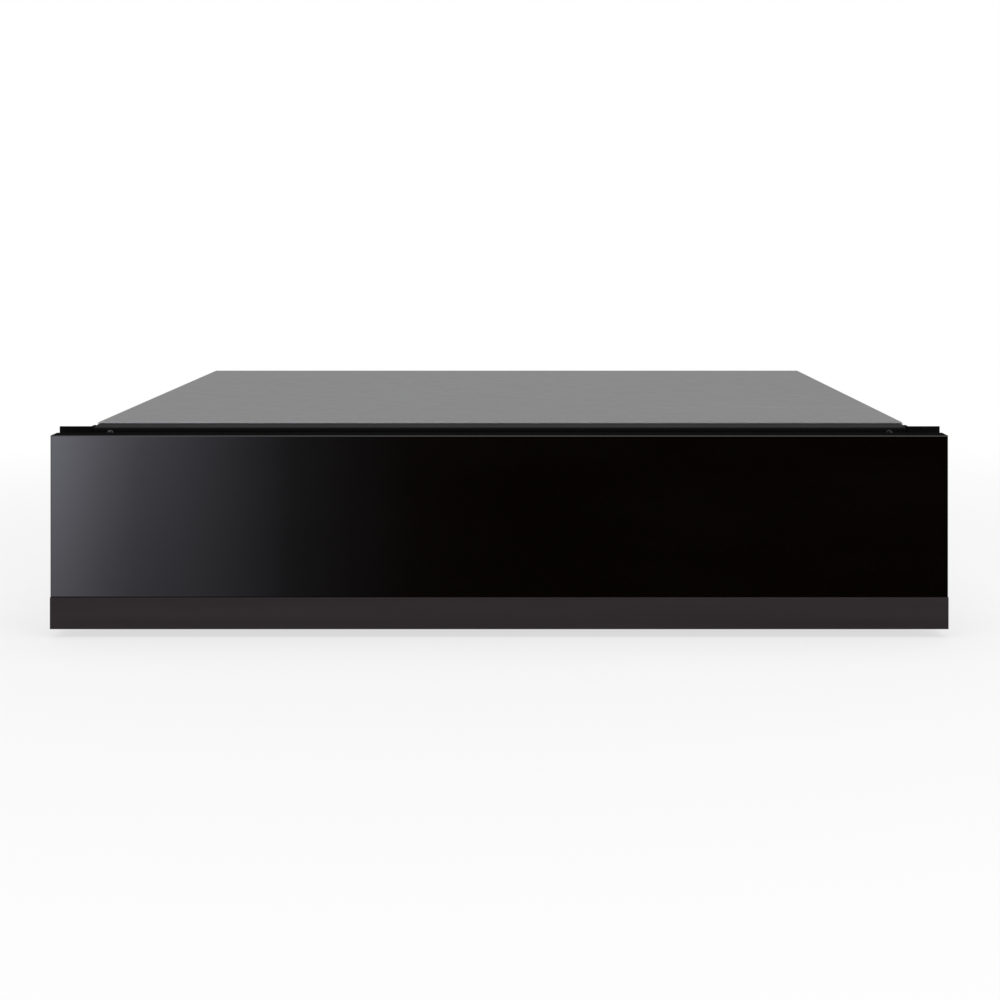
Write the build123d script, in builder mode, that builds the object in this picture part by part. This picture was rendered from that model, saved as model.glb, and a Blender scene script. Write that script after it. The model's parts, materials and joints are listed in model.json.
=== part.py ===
from build123d import *
import os

# Built-in warming drawer, 60 cm class. Millimetres, +Z up, the front faces -Y.
# The origin is the middle of the base, halfway between the front face and the back edge.

# Overall sizes
cabinet_width = 556.0
cabinet_height = 137.5
overall_depth = 550.0
front_overlap = 19.5  # drawer front past the cabinet on each side
front_lift = 5.5  # underside of the drawer front above the shelf
front_drop = 4.0  # top of the drawer front under the cabinet's top
front_thickness = 20.0
front_width = cabinet_width + 2 * front_overlap
front_height = cabinet_height - front_lift - front_drop
push_gap = 5.0  # closed drawer front to the frame, room for the opening push

# Sheet metal
sheet = 1.0  # cabinet panels
bend_inside = 0.5
panel_flange = 12.0
rear_recess = 6.0  # rear panel's face in from the cabinet's back edge
cover_lip = 8.0
cover_setback = 55.0  # top cover's front edge behind the front face

# Frame
frame_sheet = 1.5
flange_inset = 0.5  # flange's side edge in from the front's
post_drop = 0.2  # post's top under the cabinet's top
post_leg = 10.0
rail_sheet = 1.2
rail_lip = 6.0
rail_overlap = 15.0  # top rail's web under the top cover
rail_gap = 0.2  # rail's end to the post
bottom_lip = 13.0
bottom_web = 25.0
ear_length = 20.0
ear_height = 9.0
ear_gap = 0.8  # ear to the rail's web
niche_hole_radius = 2.25
niche_hole_spacing = 60.0
niche_hole_inset = 11.0  # from the flange's side edge
bumper_radius = 4.5
bumper_height = 1.2
bumper_inset = 16.0  # from the front's top and bottom edges

# Screws
screw_head_radius = 2.2
screw_head_height = 1.2
screw_radius = 1.6
screw_clearance = 0.15
screw_slot = 0.6
drill_reach = 9.0  # each way along a screw hole
frame_screw_inset = 11.5  # from the rail's end
frame_screw_drop = 3.8  # under the top rail's top face
cover_screw_drop = 4.6  # under the cabinet's top
cover_screw_count = 3
rear_screw_count = 3
screw_row_inset = 40.0  # first and last screw of a row from the panel's ends

# Vents
vent_width = 4.0
vent_height = 40.0
vent_pitch = 9.0
rear_vent_bank = 150.0
side_vent_bank = 45.0
side_vent_height = 26.0
vent_edge = 14.0  # vents from the edge that they line up with

# Supply entry
gland_x = 190.0
gland_z = 40.0
gland_bore_radius = 4.5
gland_wall = 3.5
gland_flange = 3.0
gland_flange_length = 4.0
gland_inside = 11.0
locknut_flats = 22.0
locknut_length = 4.0
thread_clearance = 0.1
terminal_width = 42.0
terminal_depth = 20.0
terminal_height = 16.0
terminal_from_back = 32.0
terminal_pitch = 12.0
terminal_well_radius = 3.2
terminal_well_depth = 6.0
terminal_screw_radius = 2.6
terminal_screw_height = 3.0

# Cable loop from the terminal block to the drawer
cable_radius = 3.0
cable_loop_radius = 30.0
cable_x = 130.0
cable_rise_radius = 12.0
cable_tail = 12.0  # cable's end over the drawer floor
cable_hole_clearance = 1.0
cable_lift = 0.3

# Runners, in u from the cabinet wall inwards and v from the runner's middle
runner_thickness = 12.7
runner_height = 45.0
runner_gauge = 1.2
runner_lip = 2.5
runner_front_gap = 2.0  # behind the post's leg
runner_back_gap = 13.0  # in front of the drawer's back
runner_above_floor = 38.0  # runner's middle above the drawer's underside
outer_reach_gap = 2.7
mid_reach_gap = 2.0
web_gap = 0.4
mid_web_gap = 0.8
ball_radius = 2.0
ball_gap = 0.2
ball_pitch = 28.0
ball_count = 7
ball_inset = 3.0  # outer ball's middle from the middle member's web
inner_ball_inset = 1.6
cage_sheet = 0.6
cage_clearance = 0.2
cage_margin = 0.4
cage_end = 14.0
runner_screw_inset = 15.0  # end screws from the drawer's inner walls
runner_screw_count = 3

# Push latch
latch_width = 28.0
latch_height = 20.0
latch_front_gap = 7.0
latch_back_gap = 4.0
latch_ear = 8.0
latch_ear_height = 3.0
plunger_radius = 5.0
plunger_clearance = 0.1
plunger_cap_radius = 7.0
plunger_cap_length = 3.0
plunger_gap = 0.3  # plunger's cap to the striker
plunger_travel_in = 3.5
plunger_end_gap = 1.5
striker_width = 36.0
striker_sheet = 1.5
striker_depth = 20.0
striker_drop = 16.0

# Drawer front
glass_thickness = 5.0
glass_edge = 0.6
strip_height = 21.0
strip_proud = 0.8  # strip's face in front of the glass
strip_edge = 0.6
strip_overhang = 0.3  # strip's end past the glass's edge
strip_gap = 0.2
carrier_inset = 0.8
carrier_sheet = 1.0
insulation_gap = 0.3

# Drawer box
drawer_sheet = 1.0
drawer_lift = 24.0  # drawer's underside above the shelf
rim_drop = 28.0  # drawer's rim under the cabinet's top
drawer_height = cabinet_height - drawer_lift - rim_drop
drawer_flange = 9.0
front_flange = 14.0
wall_flange = 10.0
wall_gap = 0.1
control_depth = 48.0
rear_space = 50.0  # drawer's back to the cabinet's back edge
heater_depth = 60.0
mat_thickness = 2.5
mat_gap = 6.0
mat_corner = 12.0
front_screw_margin = 20.0  # from the drawer's underside and rim
front_screw_inset = 7.0

# Heater and fan
tube_radius = 3.25
tube_spacing = 48.0
tube_half = 200.0
tube_from_back = 19.0
pin_radius = 1.5
pin_length = 16.0
bracket_x = 120.0
bracket_sheet = 1.2
bracket_margin = 5.0
bracket_clearance = 0.1
wheel_radius = 28.0
wheel_width = 15.0
wheel_disc = 1.2
wheel_hub_radius = 7.0
wheel_gap = 6.0  # behind the grille
wheel_blades = 16
wheel_blade = 1.0
shaft_radius = 2.0
shaft_nose = 2.0
shaft_clearance = 0.05
motor_radius = 22.0
motor_length = 28.0
motor_edge = 2.0
motor_flange = 60.0
motor_flange_height = 52.0
motor_flange_sheet = 1.5
motor_bore_end = 4.0
motor_fin_pitch = 5.0
motor_fin_depth = 1.2
motor_fin_width = 2.0
hole_ring_pitch = 8.0
hole_ring_count = 3
grille_hole_radius = 2.6
outlet_bank = 130.0
outlet_x = 150.0
outlet_height = 46.0
cutout_radius = 9.0
cutout_length = 8.0
cutout_flange_radius = 12.0
cutout_flange = 1.0
cutout_tab = 7.0
cutout_tab_width = 4.8
cutout_tab_sheet = 0.8

# Controls
fascia_height = 10.0
fascia_wall = 2.0
fascia_top = 3.0
fascia_corner = 2.0
knob_x = 170.0
knob_radius = 16.0
knob_height = 8.0
knob_gap = 0.5
knob_edge = 1.2
knob_flutes = 28
knob_flute_radius = 1.0
pointer_width = 1.6
pointer_depth = 0.8
spindle_radius = 3.0
spindle_clearance = 0.3
spindle_depth = 14.0
thermostat_size = 30.0
thermostat_height = 24.0
button_x = -170.0
button_radius = 8.0
button_clearance = 0.3
button_proud = 2.5
button_length = 16.0
button_travel = 3.0
button_edge = 0.8
switch_size = 24.0
switch_height = 27.0
switch_floor_gap = 1.0
lens_x = -140.0
lens_radius = 4.0
lens_proud = 1.2
lens_length = 9.0
lens_clearance = 0.2
lens_flange = 1.5
lens_flange_height = 2.0

# Wiring of the drawer
wire_radius = 1.2
wire_bend = 8.0
wire_gap = 0.1  # between the drawer floor and the wires under it
wire_behind = 13.0  # wires behind the drawer's back
wire_return = 20.0  # the heater's return wire, further behind
wire_turn = 17.0  # the first wire's turn over the supply cable's end
wire_step = 12.0  # the return wire's last bend from the motor
wire_clearance = 0.5  # round a wire in its hole

# Places along Y
front_y = -overall_depth / 2
back_y = overall_depth / 2
front_back_y = front_y + front_thickness
frame_y = front_back_y + push_gap
panel_y = frame_y + frame_sheet + bend_inside
cover_front_y = front_y + cover_setback
rail_back_y = cover_front_y + rail_overlap
rear_inner_y = back_y - rear_recess - sheet
drawer_back_y = back_y - rear_space
control_back_y = front_back_y + control_depth
grille_y = drawer_back_y - heater_depth
control_y = (front_back_y + control_back_y) / 2
tube_y = drawer_back_y - tube_from_back
cable_hole_y = drawer_back_y - wall_flange
first_wire_y = control_y - switch_size / 4
link_y = control_y + switch_size / 4
wire_back_y = drawer_back_y + wire_behind
return_y = drawer_back_y + wire_return

# Places along X, on the right
side_outer_x = cabinet_width / 2 - sheet
side_inner_x = side_outer_x - sheet
post_outer_x = front_width / 2 - flange_inset
post_inner_x = side_inner_x - frame_sheet
rail_end_x = post_inner_x - rail_gap
drawer_x = side_inner_x - runner_thickness
drawer_inner_x = drawer_x - drawer_sheet
frame_screw_x = rail_end_x - frame_screw_inset
rear_screw_x = side_inner_x - panel_flange / 2
wall_x = drawer_inner_x - wall_gap
cutout_x = knob_x
tab_x = (cutout_x - cutout_radius / 2, cutout_x + cutout_radius / 2)
pin_x = tube_half + pin_length / 2
cable_moving_x = cable_x - 2 * cable_loop_radius
first_wire_x = cable_moving_x - wire_turn
switch_side_x = button_x + switch_size / 2

# Places along Z
panel_top_z = cabinet_height - sheet
front_top_z = front_lift + front_height
strip_top_z = front_lift + strip_height
floor_z = drawer_lift + drawer_sheet
floor_top_z = floor_z + drawer_sheet
rim_z = drawer_lift + drawer_height
fascia_z = rim_z + fascia_height
runner_z = drawer_lift + runner_above_floor
fan_z = (drawer_lift + rim_z) / 2
fascia_under_z = fascia_z - fascia_top
tube_low_z = fan_z - tube_spacing / 2
tube_high_z = fan_z + tube_spacing / 2

os.makedirs("parts", exist_ok=True)


def save(builder, name):
    builder.part.label = name
    export_step(builder.part, f"parts/{name}.step")


def slab(x, y, z, mode=Mode.ADD):
    """A box between two limits on each axis, in the open part."""
    with Locations(((x[0] + x[1]) / 2, (y[0] + y[1]) / 2, (z[0] + z[1]) / 2)):
        Box(x[1] - x[0], y[1] - y[0], z[1] - z[0], mode=mode)


def bent(points, thickness, side):
    """The section of a bent sheet, from the corners of its outer face, in the open sketch."""
    with BuildLine() as outline:
        FilletPolyline(*points, radius=bend_inside + thickness)
        offset(amount=thickness, side=side)
    make_face(outline.edges())


def facing(y):
    """A plane across the depth, with sketch x along X and sketch y along Z."""
    return Plane.XZ.offset(-y)


def row(first, last, count):
    """Evenly spaced places from first to last."""
    return [first + (last - first) * i / (count - 1) for i in range(count)]


def drill(places, radius):
    """Holes through the open part's sheet, each on a plane's normal."""
    with Locations(*places):
        Cylinder(radius, 2 * drill_reach, mode=Mode.SUBTRACT)


def screw(grip):
    """A slotted pan-head screw with its head over the plane and its shank through the grip."""
    with BuildPart() as piece:
        Cylinder(screw_head_radius, screw_head_height, align=(Align.CENTER, Align.CENTER, Align.MIN))
        fillet(piece.edges().group_by(Axis.Z)[-1], screw_head_height / 3)
        Cylinder(screw_radius, grip, align=(Align.CENTER, Align.CENTER, Align.MAX))
        with Locations((0, 0, screw_head_height)):
            Box(2 * screw_head_radius, screw_slot, screw_head_height, mode=Mode.SUBTRACT)
    return piece.part


def screw_group(name, grip, places):
    with BuildPart() as group:
        with Locations(*places):
            add(screw(grip))
    save(group, name)


def mirrored(name, source):
    """The right-hand twin of a left-hand piece."""
    with BuildPart() as twin:
        mirror(source.part, about=Plane.YZ)
    save(twin, name)


def both_sides(points):
    """The same places on the left and on the right."""
    return [(sign * x, y, z) for sign in (-1, 1) for x, y, z in points]


def planes(points, direction):
    """Planes at the places, all facing one way."""
    return [Plane(point, z_dir=direction) for point in points]


def outward(points, sign=1):
    """Planes that face away from the middle along X, or towards it."""
    return [Plane(point, z_dir=(sign if point[0] > 0 else -sign, 0, 0)) for point in points]


screw_hole_radius = screw_radius + screw_clearance

# Screw places of the cabinet
runner_start_y = frame_y + post_leg + runner_front_gap
runner_end_y = drawer_back_y - runner_back_gap
runner_length = runner_end_y - runner_start_y
runner_rows = row(control_back_y + runner_screw_inset, grille_y - runner_screw_inset, runner_screw_count)
cover_rows = row(cover_front_y + screw_row_inset, back_y - screw_row_inset, cover_screw_count)
rear_rows = row(screw_row_inset, cabinet_height - screw_row_inset, rear_screw_count)
cover_screw_z = cabinet_height - cover_screw_drop
frame_top_screw_z = panel_top_z - frame_screw_drop
frame_low_screw_z = sheet + bottom_lip / 2
runner_cabinet_places = both_sides([(side_outer_x, y, runner_z) for y in runner_rows])
runner_drawer_places = both_sides([(drawer_inner_x, y, runner_z) for y in runner_rows])
cover_places = both_sides([(cabinet_width / 2, y, cover_screw_z) for y in cover_rows])
rear_places = both_sides([(rear_screw_x, rear_inner_y + sheet, z) for z in rear_rows])
frame_places = both_sides([(frame_screw_x, frame_y, z) for z in (frame_top_screw_z, frame_low_screw_z)])
niche_z = cabinet_height / 2
niche_heights = (niche_z - niche_hole_spacing / 2, niche_z + niche_hole_spacing / 2)
niche_places = [(-post_outer_x + niche_hole_inset, frame_y, z) for z in niche_heights]

# Base pan, with air slots near the back
with BuildPart() as base_pan:
    slab((-side_outer_x, side_outer_x), (panel_y, back_y), (0, sheet))
    with BuildSketch(Plane.XY):
        with Locations((-cable_x, drawer_back_y - vent_height)):
            with GridLocations(vent_pitch, 0, int(rear_vent_bank // vent_pitch), 1):
                SlotOverall(vent_height, vent_width, rotation=90)
    extrude(amount=sheet, mode=Mode.SUBTRACT)
save(base_pan, "base_pan")

# Side panel: a web with a top, a bottom and a rear flange
with BuildPart() as side_panel_left:
    with BuildSketch(facing(back_y)):
        bent(
            [
                (panel_flange - side_outer_x, panel_top_z),
                (-side_outer_x, panel_top_z),
                (-side_outer_x, sheet),
                (panel_flange - side_outer_x, sheet),
            ],
            sheet,
            Side.LEFT,
        )
    extrude(amount=back_y - panel_y)
    slab(
        (-side_inner_x, panel_flange - side_inner_x),
        (panel_y, rail_back_y + bend_inside),
        (panel_top_z - 2 * sheet, panel_top_z),
        mode=Mode.SUBTRACT,
    )
    slab(
        (-side_outer_x + sheet / 2, panel_flange - side_inner_x),
        (rear_inner_y - sheet, rear_inner_y),
        (4 * sheet, panel_top_z - 3 * sheet),
    )
    with BuildSketch(Plane.YZ.offset(-side_outer_x)):
        side_vent_y = rear_inner_y - vent_edge - side_vent_bank / 2
        with Locations((side_vent_y, panel_top_z - cover_lip - side_vent_height)):
            with GridLocations(vent_pitch, 0, int(side_vent_bank // vent_pitch), 1):
                SlotOverall(side_vent_height, vent_width, rotation=90)
    extrude(amount=sheet, mode=Mode.SUBTRACT)
    drill(outward(runner_cabinet_places[:runner_screw_count]), screw_hole_radius)
    drill(outward(cover_places[:cover_screw_count]), screw_hole_radius)
    drill(planes(rear_places[:rear_screw_count], (0, 1, 0)), screw_hole_radius)
save(side_panel_left, "side_panel_left")
mirrored("side_panel_right", side_panel_left)

# Top cover: a flat top with a lip down each side
with BuildPart() as top_cover:
    with BuildSketch(facing(back_y)):
        bent(
            [
                (-cabinet_width / 2, cabinet_height - cover_lip),
                (-cabinet_width / 2, cabinet_height),
                (cabinet_width / 2, cabinet_height),
                (cabinet_width / 2, cabinet_height - cover_lip),
            ],
            sheet,
            Side.RIGHT,
        )
    extrude(amount=back_y - cover_front_y)
    drill(outward(cover_places), screw_hole_radius)
save(top_cover, "top_cover")

# Rear panel, with two banks of air slots and the gland's hole
gland_radius = gland_bore_radius + gland_wall
with BuildPart() as rear_panel:
    slab(
        (bend_inside + sheet - side_inner_x, side_inner_x - bend_inside - sheet),
        (rear_inner_y, rear_inner_y + sheet),
        (2 * sheet, panel_top_z - 2 * sheet),
    )
    with BuildSketch(facing(rear_inner_y + sheet)):
        with Locations((0, panel_top_z - vent_edge - vent_height / 2)):
            with GridLocations(rear_vent_bank + 4 * vent_pitch, 0, 2, 1):
                with GridLocations(vent_pitch, 0, int(rear_vent_bank // vent_pitch), 1):
                    SlotOverall(vent_height, vent_width, rotation=90)
        with Locations((gland_x, gland_z)):
            Circle(gland_radius + thread_clearance)
    extrude(amount=sheet, mode=Mode.SUBTRACT)
    drill(planes(rear_places, (0, 1, 0)), screw_hole_radius)
save(rear_panel, "rear_panel")

# Frame post: niche flange, a leg along the side panel and two ears behind the rails
ear_y = (frame_y + rail_sheet, frame_y + rail_sheet + frame_sheet)
ear_x = (-side_inner_x + frame_sheet / 2, -post_inner_x + ear_length)
top_ear_z = panel_top_z - rail_sheet - ear_gap
bottom_ear_z = sheet + rail_sheet + ear_gap
post_low_z = 2 * sheet + bend_inside
with BuildPart() as frame_post_left:
    with BuildSketch(Plane.XY.offset(post_low_z)):
        bent(
            [(-post_outer_x, frame_y), (-post_inner_x, frame_y), (-post_inner_x, frame_y + post_leg)],
            frame_sheet,
            Side.LEFT,
        )
    extrude(amount=cabinet_height - post_drop - post_low_z)
    slab(ear_x, ear_y, (top_ear_z - ear_height, top_ear_z))
    slab(ear_x, ear_y, (bottom_ear_z, bottom_ear_z + ear_height))
    drill(planes(niche_places, (0, 1, 0)), niche_hole_radius)
    drill(planes(frame_places[:2], (0, 1, 0)), screw_hole_radius)
save(frame_post_left, "frame_post_left")
mirrored("frame_post_right", frame_post_left)

# Top rail: a web under the top cover and a lip down the front
with BuildPart() as frame_top_rail:
    with BuildSketch(Plane.YZ.offset(-rail_end_x)):
        bent(
            [(frame_y, panel_top_z - rail_lip), (frame_y, panel_top_z), (rail_back_y, panel_top_z)],
            rail_sheet,
            Side.RIGHT,
        )
    extrude(amount=2 * rail_end_x)
    drill(planes(frame_places, (0, 1, 0)), screw_hole_radius)
save(frame_top_rail, "frame_top_rail")

# Bottom rail: a lip up the front and a web on the base pan, between the side panels' flanges
with BuildPart() as frame_bottom_rail:
    slab((-rail_end_x, rail_end_x), (frame_y, frame_y + rail_sheet), (sheet, sheet + bottom_lip))
    web_x = side_outer_x - panel_flange - sheet
    slab((-web_x, web_x), (frame_y, frame_y + bottom_web), (sheet, sheet + rail_sheet))
    drill(planes(frame_places, (0, 1, 0)), screw_hole_radius)
save(frame_bottom_rail, "frame_bottom_rail")

# Rubber bumpers on the flange, behind the drawer front
bumper_x = post_outer_x - niche_hole_inset
bumper_heights = (front_lift + bumper_inset, front_top_z - bumper_inset)
with BuildPart() as frame_bumpers:
    with Locations(*planes(both_sides([(bumper_x, frame_y, z) for z in bumper_heights]), (0, -1, 0))):
        Cylinder(bumper_radius, bumper_height, align=(Align.CENTER, Align.CENTER, Align.MIN))
    fillet(frame_bumpers.edges().group_by(Axis.Y)[0], bumper_height / 3)
save(frame_bumpers, "frame_bumpers")

# Cabinet screws
screw_group("frame_screws", rail_sheet + frame_sheet, planes(frame_places, (0, -1, 0)))
screw_group("cover_screws", 2 * sheet, outward(cover_places))
screw_group("rear_screws", 2 * sheet, planes(rear_places, (0, 1, 0)))
screw_group("runner_screws_cabinet", sheet + runner_gauge, outward(runner_cabinet_places))

# Cable gland through the rear panel, and its locknut inside
gland_end_y = rear_inner_y + sheet + gland_flange_length
with BuildPart() as cable_gland:
    with Locations(Plane((gland_x, gland_end_y, gland_z), z_dir=(0, -1, 0))):
        body = (Align.CENTER, Align.CENTER, Align.MIN)
        Cylinder(gland_radius, gland_flange_length + sheet + gland_inside, align=body)
        Cylinder(gland_radius + gland_flange, gland_flange_length, align=body)
    fillet(cable_gland.edges().group_by(Axis.Y)[-1], gland_flange / 3)
    with Locations(Plane((gland_x, gland_end_y, gland_z), z_dir=(0, -1, 0))):
        Cylinder(gland_bore_radius, 4 * gland_inside, mode=Mode.SUBTRACT)
save(cable_gland, "cable_gland")

with BuildPart() as gland_locknut:
    with BuildSketch(facing(rear_inner_y)):
        with Locations((gland_x, gland_z)):
            RegularPolygon(locknut_flats / 2, 6, major_radius=False)
            Circle(gland_radius + thread_clearance, mode=Mode.SUBTRACT)
    extrude(amount=locknut_length)
save(gland_locknut, "gland_locknut")

# Terminal block on the base pan, with three screw wells
terminal_front_y = rear_inner_y - terminal_from_back
terminal_middle_y = terminal_front_y + terminal_depth / 2
terminal_top_z = sheet + terminal_height
well_places = [(cable_x + i * terminal_pitch, terminal_middle_y) for i in (-1, 0, 1)]
with BuildPart() as terminal_block:
    slab(
        (cable_x - terminal_width / 2, cable_x + terminal_width / 2),
        (terminal_front_y, terminal_front_y + terminal_depth),
        (sheet, terminal_top_z),
    )
    with BuildSketch(Plane.XY.offset(terminal_top_z)):
        with Locations(*well_places):
            Circle(terminal_well_radius)
    extrude(amount=-terminal_well_depth, mode=Mode.SUBTRACT)
save(terminal_block, "terminal_block")

with BuildPart() as terminal_screws:
    with BuildSketch(Plane.XY.offset(terminal_top_z - terminal_well_depth)):
        with Locations(*well_places):
            Circle(terminal_screw_radius)
    extrude(amount=terminal_screw_height)
    slot_z = terminal_top_z - terminal_well_depth + terminal_screw_height
    with Locations(*[(x, y, slot_z) for x, y in well_places]):
        Box(3 * terminal_screw_radius, screw_slot, terminal_screw_height, mode=Mode.SUBTRACT)
save(terminal_screws, "terminal_screws")

# Supply cable: a flat loop on the base pan that rolls forward as the drawer opens
cable_z = sheet + cable_lift + cable_radius
cable_rise_y = cable_hole_y - cable_rise_radius
rise_shift = cable_rise_radius * 2**-0.5
with BuildPart() as supply_cable:
    with BuildLine() as cable_path:
        Line((cable_x, terminal_front_y, cable_z), (cable_x, 0, cable_z))
        ThreePointArc(
            (cable_x, 0, cable_z),
            (cable_x - cable_loop_radius, -cable_loop_radius, cable_z),
            (cable_moving_x, 0, cable_z),
        )
        Line((cable_moving_x, 0, cable_z), (cable_moving_x, cable_rise_y, cable_z))
        ThreePointArc(
            (cable_moving_x, cable_rise_y, cable_z),
            (cable_moving_x, cable_rise_y + rise_shift, cable_z + cable_rise_radius - rise_shift),
            (cable_moving_x, cable_hole_y, cable_z + cable_rise_radius),
        )
        Line(
            (cable_moving_x, cable_hole_y, cable_z + cable_rise_radius),
            (cable_moving_x, cable_hole_y, floor_top_z + cable_tail),
        )
    with BuildSketch(facing(terminal_front_y)):
        with Locations((cable_x, cable_z)):
            Circle(cable_radius)
    sweep(path=cable_path.wires()[0])
save(supply_cable, "supply_cable")

# Runner sections. The three members nest, with a ball cage in each of the two gaps.
outer_reach = runner_thickness - outer_reach_gap
mid_reach = runner_thickness - mid_reach_gap
outer_cage_u = runner_gauge + web_gap
mid_u = outer_cage_u + cage_sheet + mid_web_gap
inner_cage_u = mid_u + runner_gauge + web_gap
inner_u = inner_cage_u + cage_sheet + web_gap
outer_half = runner_height / 2
outer_ball_v = outer_half - runner_gauge - ball_gap - ball_radius
mid_half = outer_ball_v - ball_radius - ball_gap
inner_ball_v = mid_half - runner_gauge - ball_gap - ball_radius
inner_half = inner_ball_v - ball_radius - ball_gap
outer_ball_u = mid_u + ball_inset
inner_ball_u = inner_u + inner_ball_inset
cage_length = (ball_count - 1) * ball_pitch + cage_end
runner_middle_y = (runner_start_y + runner_end_y) / 2


def runner_plane(y):
    """Section plane of the left runner: sketch x is u, sketch y is v."""
    return Plane((-side_inner_x, y, runner_z), x_dir=(1, 0, 0), z_dir=(0, -1, 0))


def runner_member(web_u, reach, half, hole_u, name):
    """One member: a C section with lips, drilled for its screws where hole_u is given."""
    with BuildPart() as member:
        with BuildSketch(runner_plane(runner_end_y)):
            bent(
                [
                    (reach, half - runner_lip),
                    (reach, half),
                    (web_u, half),
                    (web_u, -half),
                    (reach, -half),
                    (reach, runner_lip - half),
                ],
                runner_gauge,
                Side.LEFT,
            )
        extrude(amount=runner_length)
        if hole_u is not None:
            drill(outward([(-side_inner_x + hole_u, y, runner_z) for y in runner_rows]), screw_hole_radius)
    save(member, name + "_left")
    mirrored(name + "_right", member)


def ball_cage(web_u, ball_u, ball_v, name):
    """A channel of thin sheet that holds one row of balls above and one below."""
    reach = ball_u + ball_radius + cage_clearance + cage_margin
    half = ball_v + cage_sheet / 2
    ball_rows = row(-1, 1, ball_count)
    span = (ball_count - 1) * ball_pitch / 2
    places = [
        (-side_inner_x + ball_u, runner_middle_y + step * span, runner_z + sign * ball_v)
        for step in ball_rows
        for sign in (-1, 1)
    ]
    with BuildPart() as cage:
        with BuildSketch(runner_plane(runner_middle_y + cage_length / 2)):
            with BuildLine() as channel:
                Polyline((reach, half), (web_u, half), (web_u, -half), (reach, -half))
                offset(amount=cage_sheet, side=Side.LEFT, kind=Kind.INTERSECTION)
            make_face(channel.edges())
        extrude(amount=cage_length)
        with Locations(*places):
            Cylinder(ball_radius + cage_clearance, 2 * ball_radius, mode=Mode.SUBTRACT)
            Sphere(ball_radius)
    save(cage, name + "_left")
    mirrored(name + "_right", cage)


runner_member(0, outer_reach, outer_half, 0, "runner_outer")
runner_member(mid_u, mid_reach, mid_half, None, "runner_mid")
ball_cage(outer_cage_u, outer_ball_u, outer_ball_v, "ball_cage_outer")
ball_cage(inner_cage_u, inner_ball_u, inner_ball_v, "ball_cage_inner")

# Inner runner member, with its web on the drawer's side
with BuildPart() as runner_inner_left:
    with BuildSketch(runner_plane(runner_end_y)):
        bent(
            [
                (inner_u, inner_half),
                (runner_thickness, inner_half),
                (runner_thickness, -inner_half),
                (inner_u, -inner_half),
            ],
            runner_gauge,
            Side.RIGHT,
        )
    extrude(amount=runner_length)
    drill(outward(runner_drawer_places[:runner_screw_count]), screw_hole_radius)
save(runner_inner_left, "runner_inner_left")
mirrored("runner_inner_right", runner_inner_left)
screw_group("runner_screws_drawer", drawer_sheet + runner_gauge, outward(runner_drawer_places, -1))

# Push latch on the base pan: a housing with a blind bore, and its plunger
latch_front_y = drawer_back_y + latch_front_gap
latch_back_y = rear_inner_y - latch_back_gap
plunger_front_y = drawer_back_y + plunger_gap
plunger_z = sheet + latch_height / 2
plunger_end_y = latch_back_y - 2 * plunger_end_gap - plunger_travel_in
bore_end_y = plunger_end_y + plunger_travel_in + plunger_end_gap
with BuildPart() as push_latch_housing:
    slab((-latch_width / 2, latch_width / 2), (latch_front_y, latch_back_y), (sheet, sheet + latch_height))
    fillet(push_latch_housing.edges().filter_by(Axis.Y).group_by(Axis.Z)[-1], latch_ear_height)
    ear_span = latch_width / 2 + latch_ear
    slab((-ear_span, ear_span), (latch_front_y, latch_back_y), (sheet, sheet + latch_ear_height))
    with BuildSketch(facing(bore_end_y)):
        with Locations((0, plunger_z)):
            Circle(plunger_radius + plunger_clearance)
    extrude(amount=bore_end_y - latch_front_y, mode=Mode.SUBTRACT)
save(push_latch_housing, "push_latch_housing")

with BuildPart() as push_latch_plunger:
    with BuildSketch(facing(plunger_end_y)):
        with Locations((0, plunger_z)):
            Circle(plunger_radius)
    extrude(amount=plunger_end_y - plunger_front_y)
    with BuildSketch(facing(plunger_front_y + plunger_cap_length)):
        with Locations((0, plunger_z)):
            Circle(plunger_cap_radius)
    extrude(amount=plunger_cap_length)
    fillet(push_latch_plunger.edges().group_by(Axis.Y)[0], plunger_cap_length / 4)
save(push_latch_plunger, "push_latch_plunger")

# Striker under the drawer floor, which the plunger pushes
with BuildPart() as latch_striker:
    slab(
        (-striker_width / 2, striker_width / 2),
        (drawer_back_y - striker_depth, drawer_back_y),
        (floor_z - striker_sheet, floor_z),
    )
    slab(
        (-striker_width / 2, striker_width / 2),
        (drawer_back_y - striker_sheet, drawer_back_y),
        (floor_z - striker_drop, floor_z),
    )
save(latch_striker, "latch_striker")

# Drawer front: glass over a dark strip, on a steel tray filled with insulation
glass_y = front_y + strip_proud
carrier_y = glass_y + glass_thickness
glass_x = front_width / 2 - strip_overhang
carrier_x = glass_x - carrier_inset
carrier_z = (front_lift + carrier_inset, front_top_z - carrier_inset)
tray_x = carrier_x - carrier_sheet
tray_z = (carrier_z[0] + carrier_sheet, carrier_z[1] - carrier_sheet)
back_panel_y = front_back_y - carrier_sheet

with BuildPart() as front_glass:
    slab((-glass_x, glass_x), (glass_y, carrier_y), (strip_top_z + strip_gap, front_top_z))
    fillet(front_glass.edges().group_by(Axis.Y)[0], glass_edge)
save(front_glass, "front_glass")

with BuildPart() as trim_strip:
    slab((-front_width / 2, front_width / 2), (front_y, carrier_y), (front_lift, strip_top_z))
    fillet(trim_strip.edges().group_by(Axis.Y)[0], strip_edge)
save(trim_strip, "trim_strip")

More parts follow.
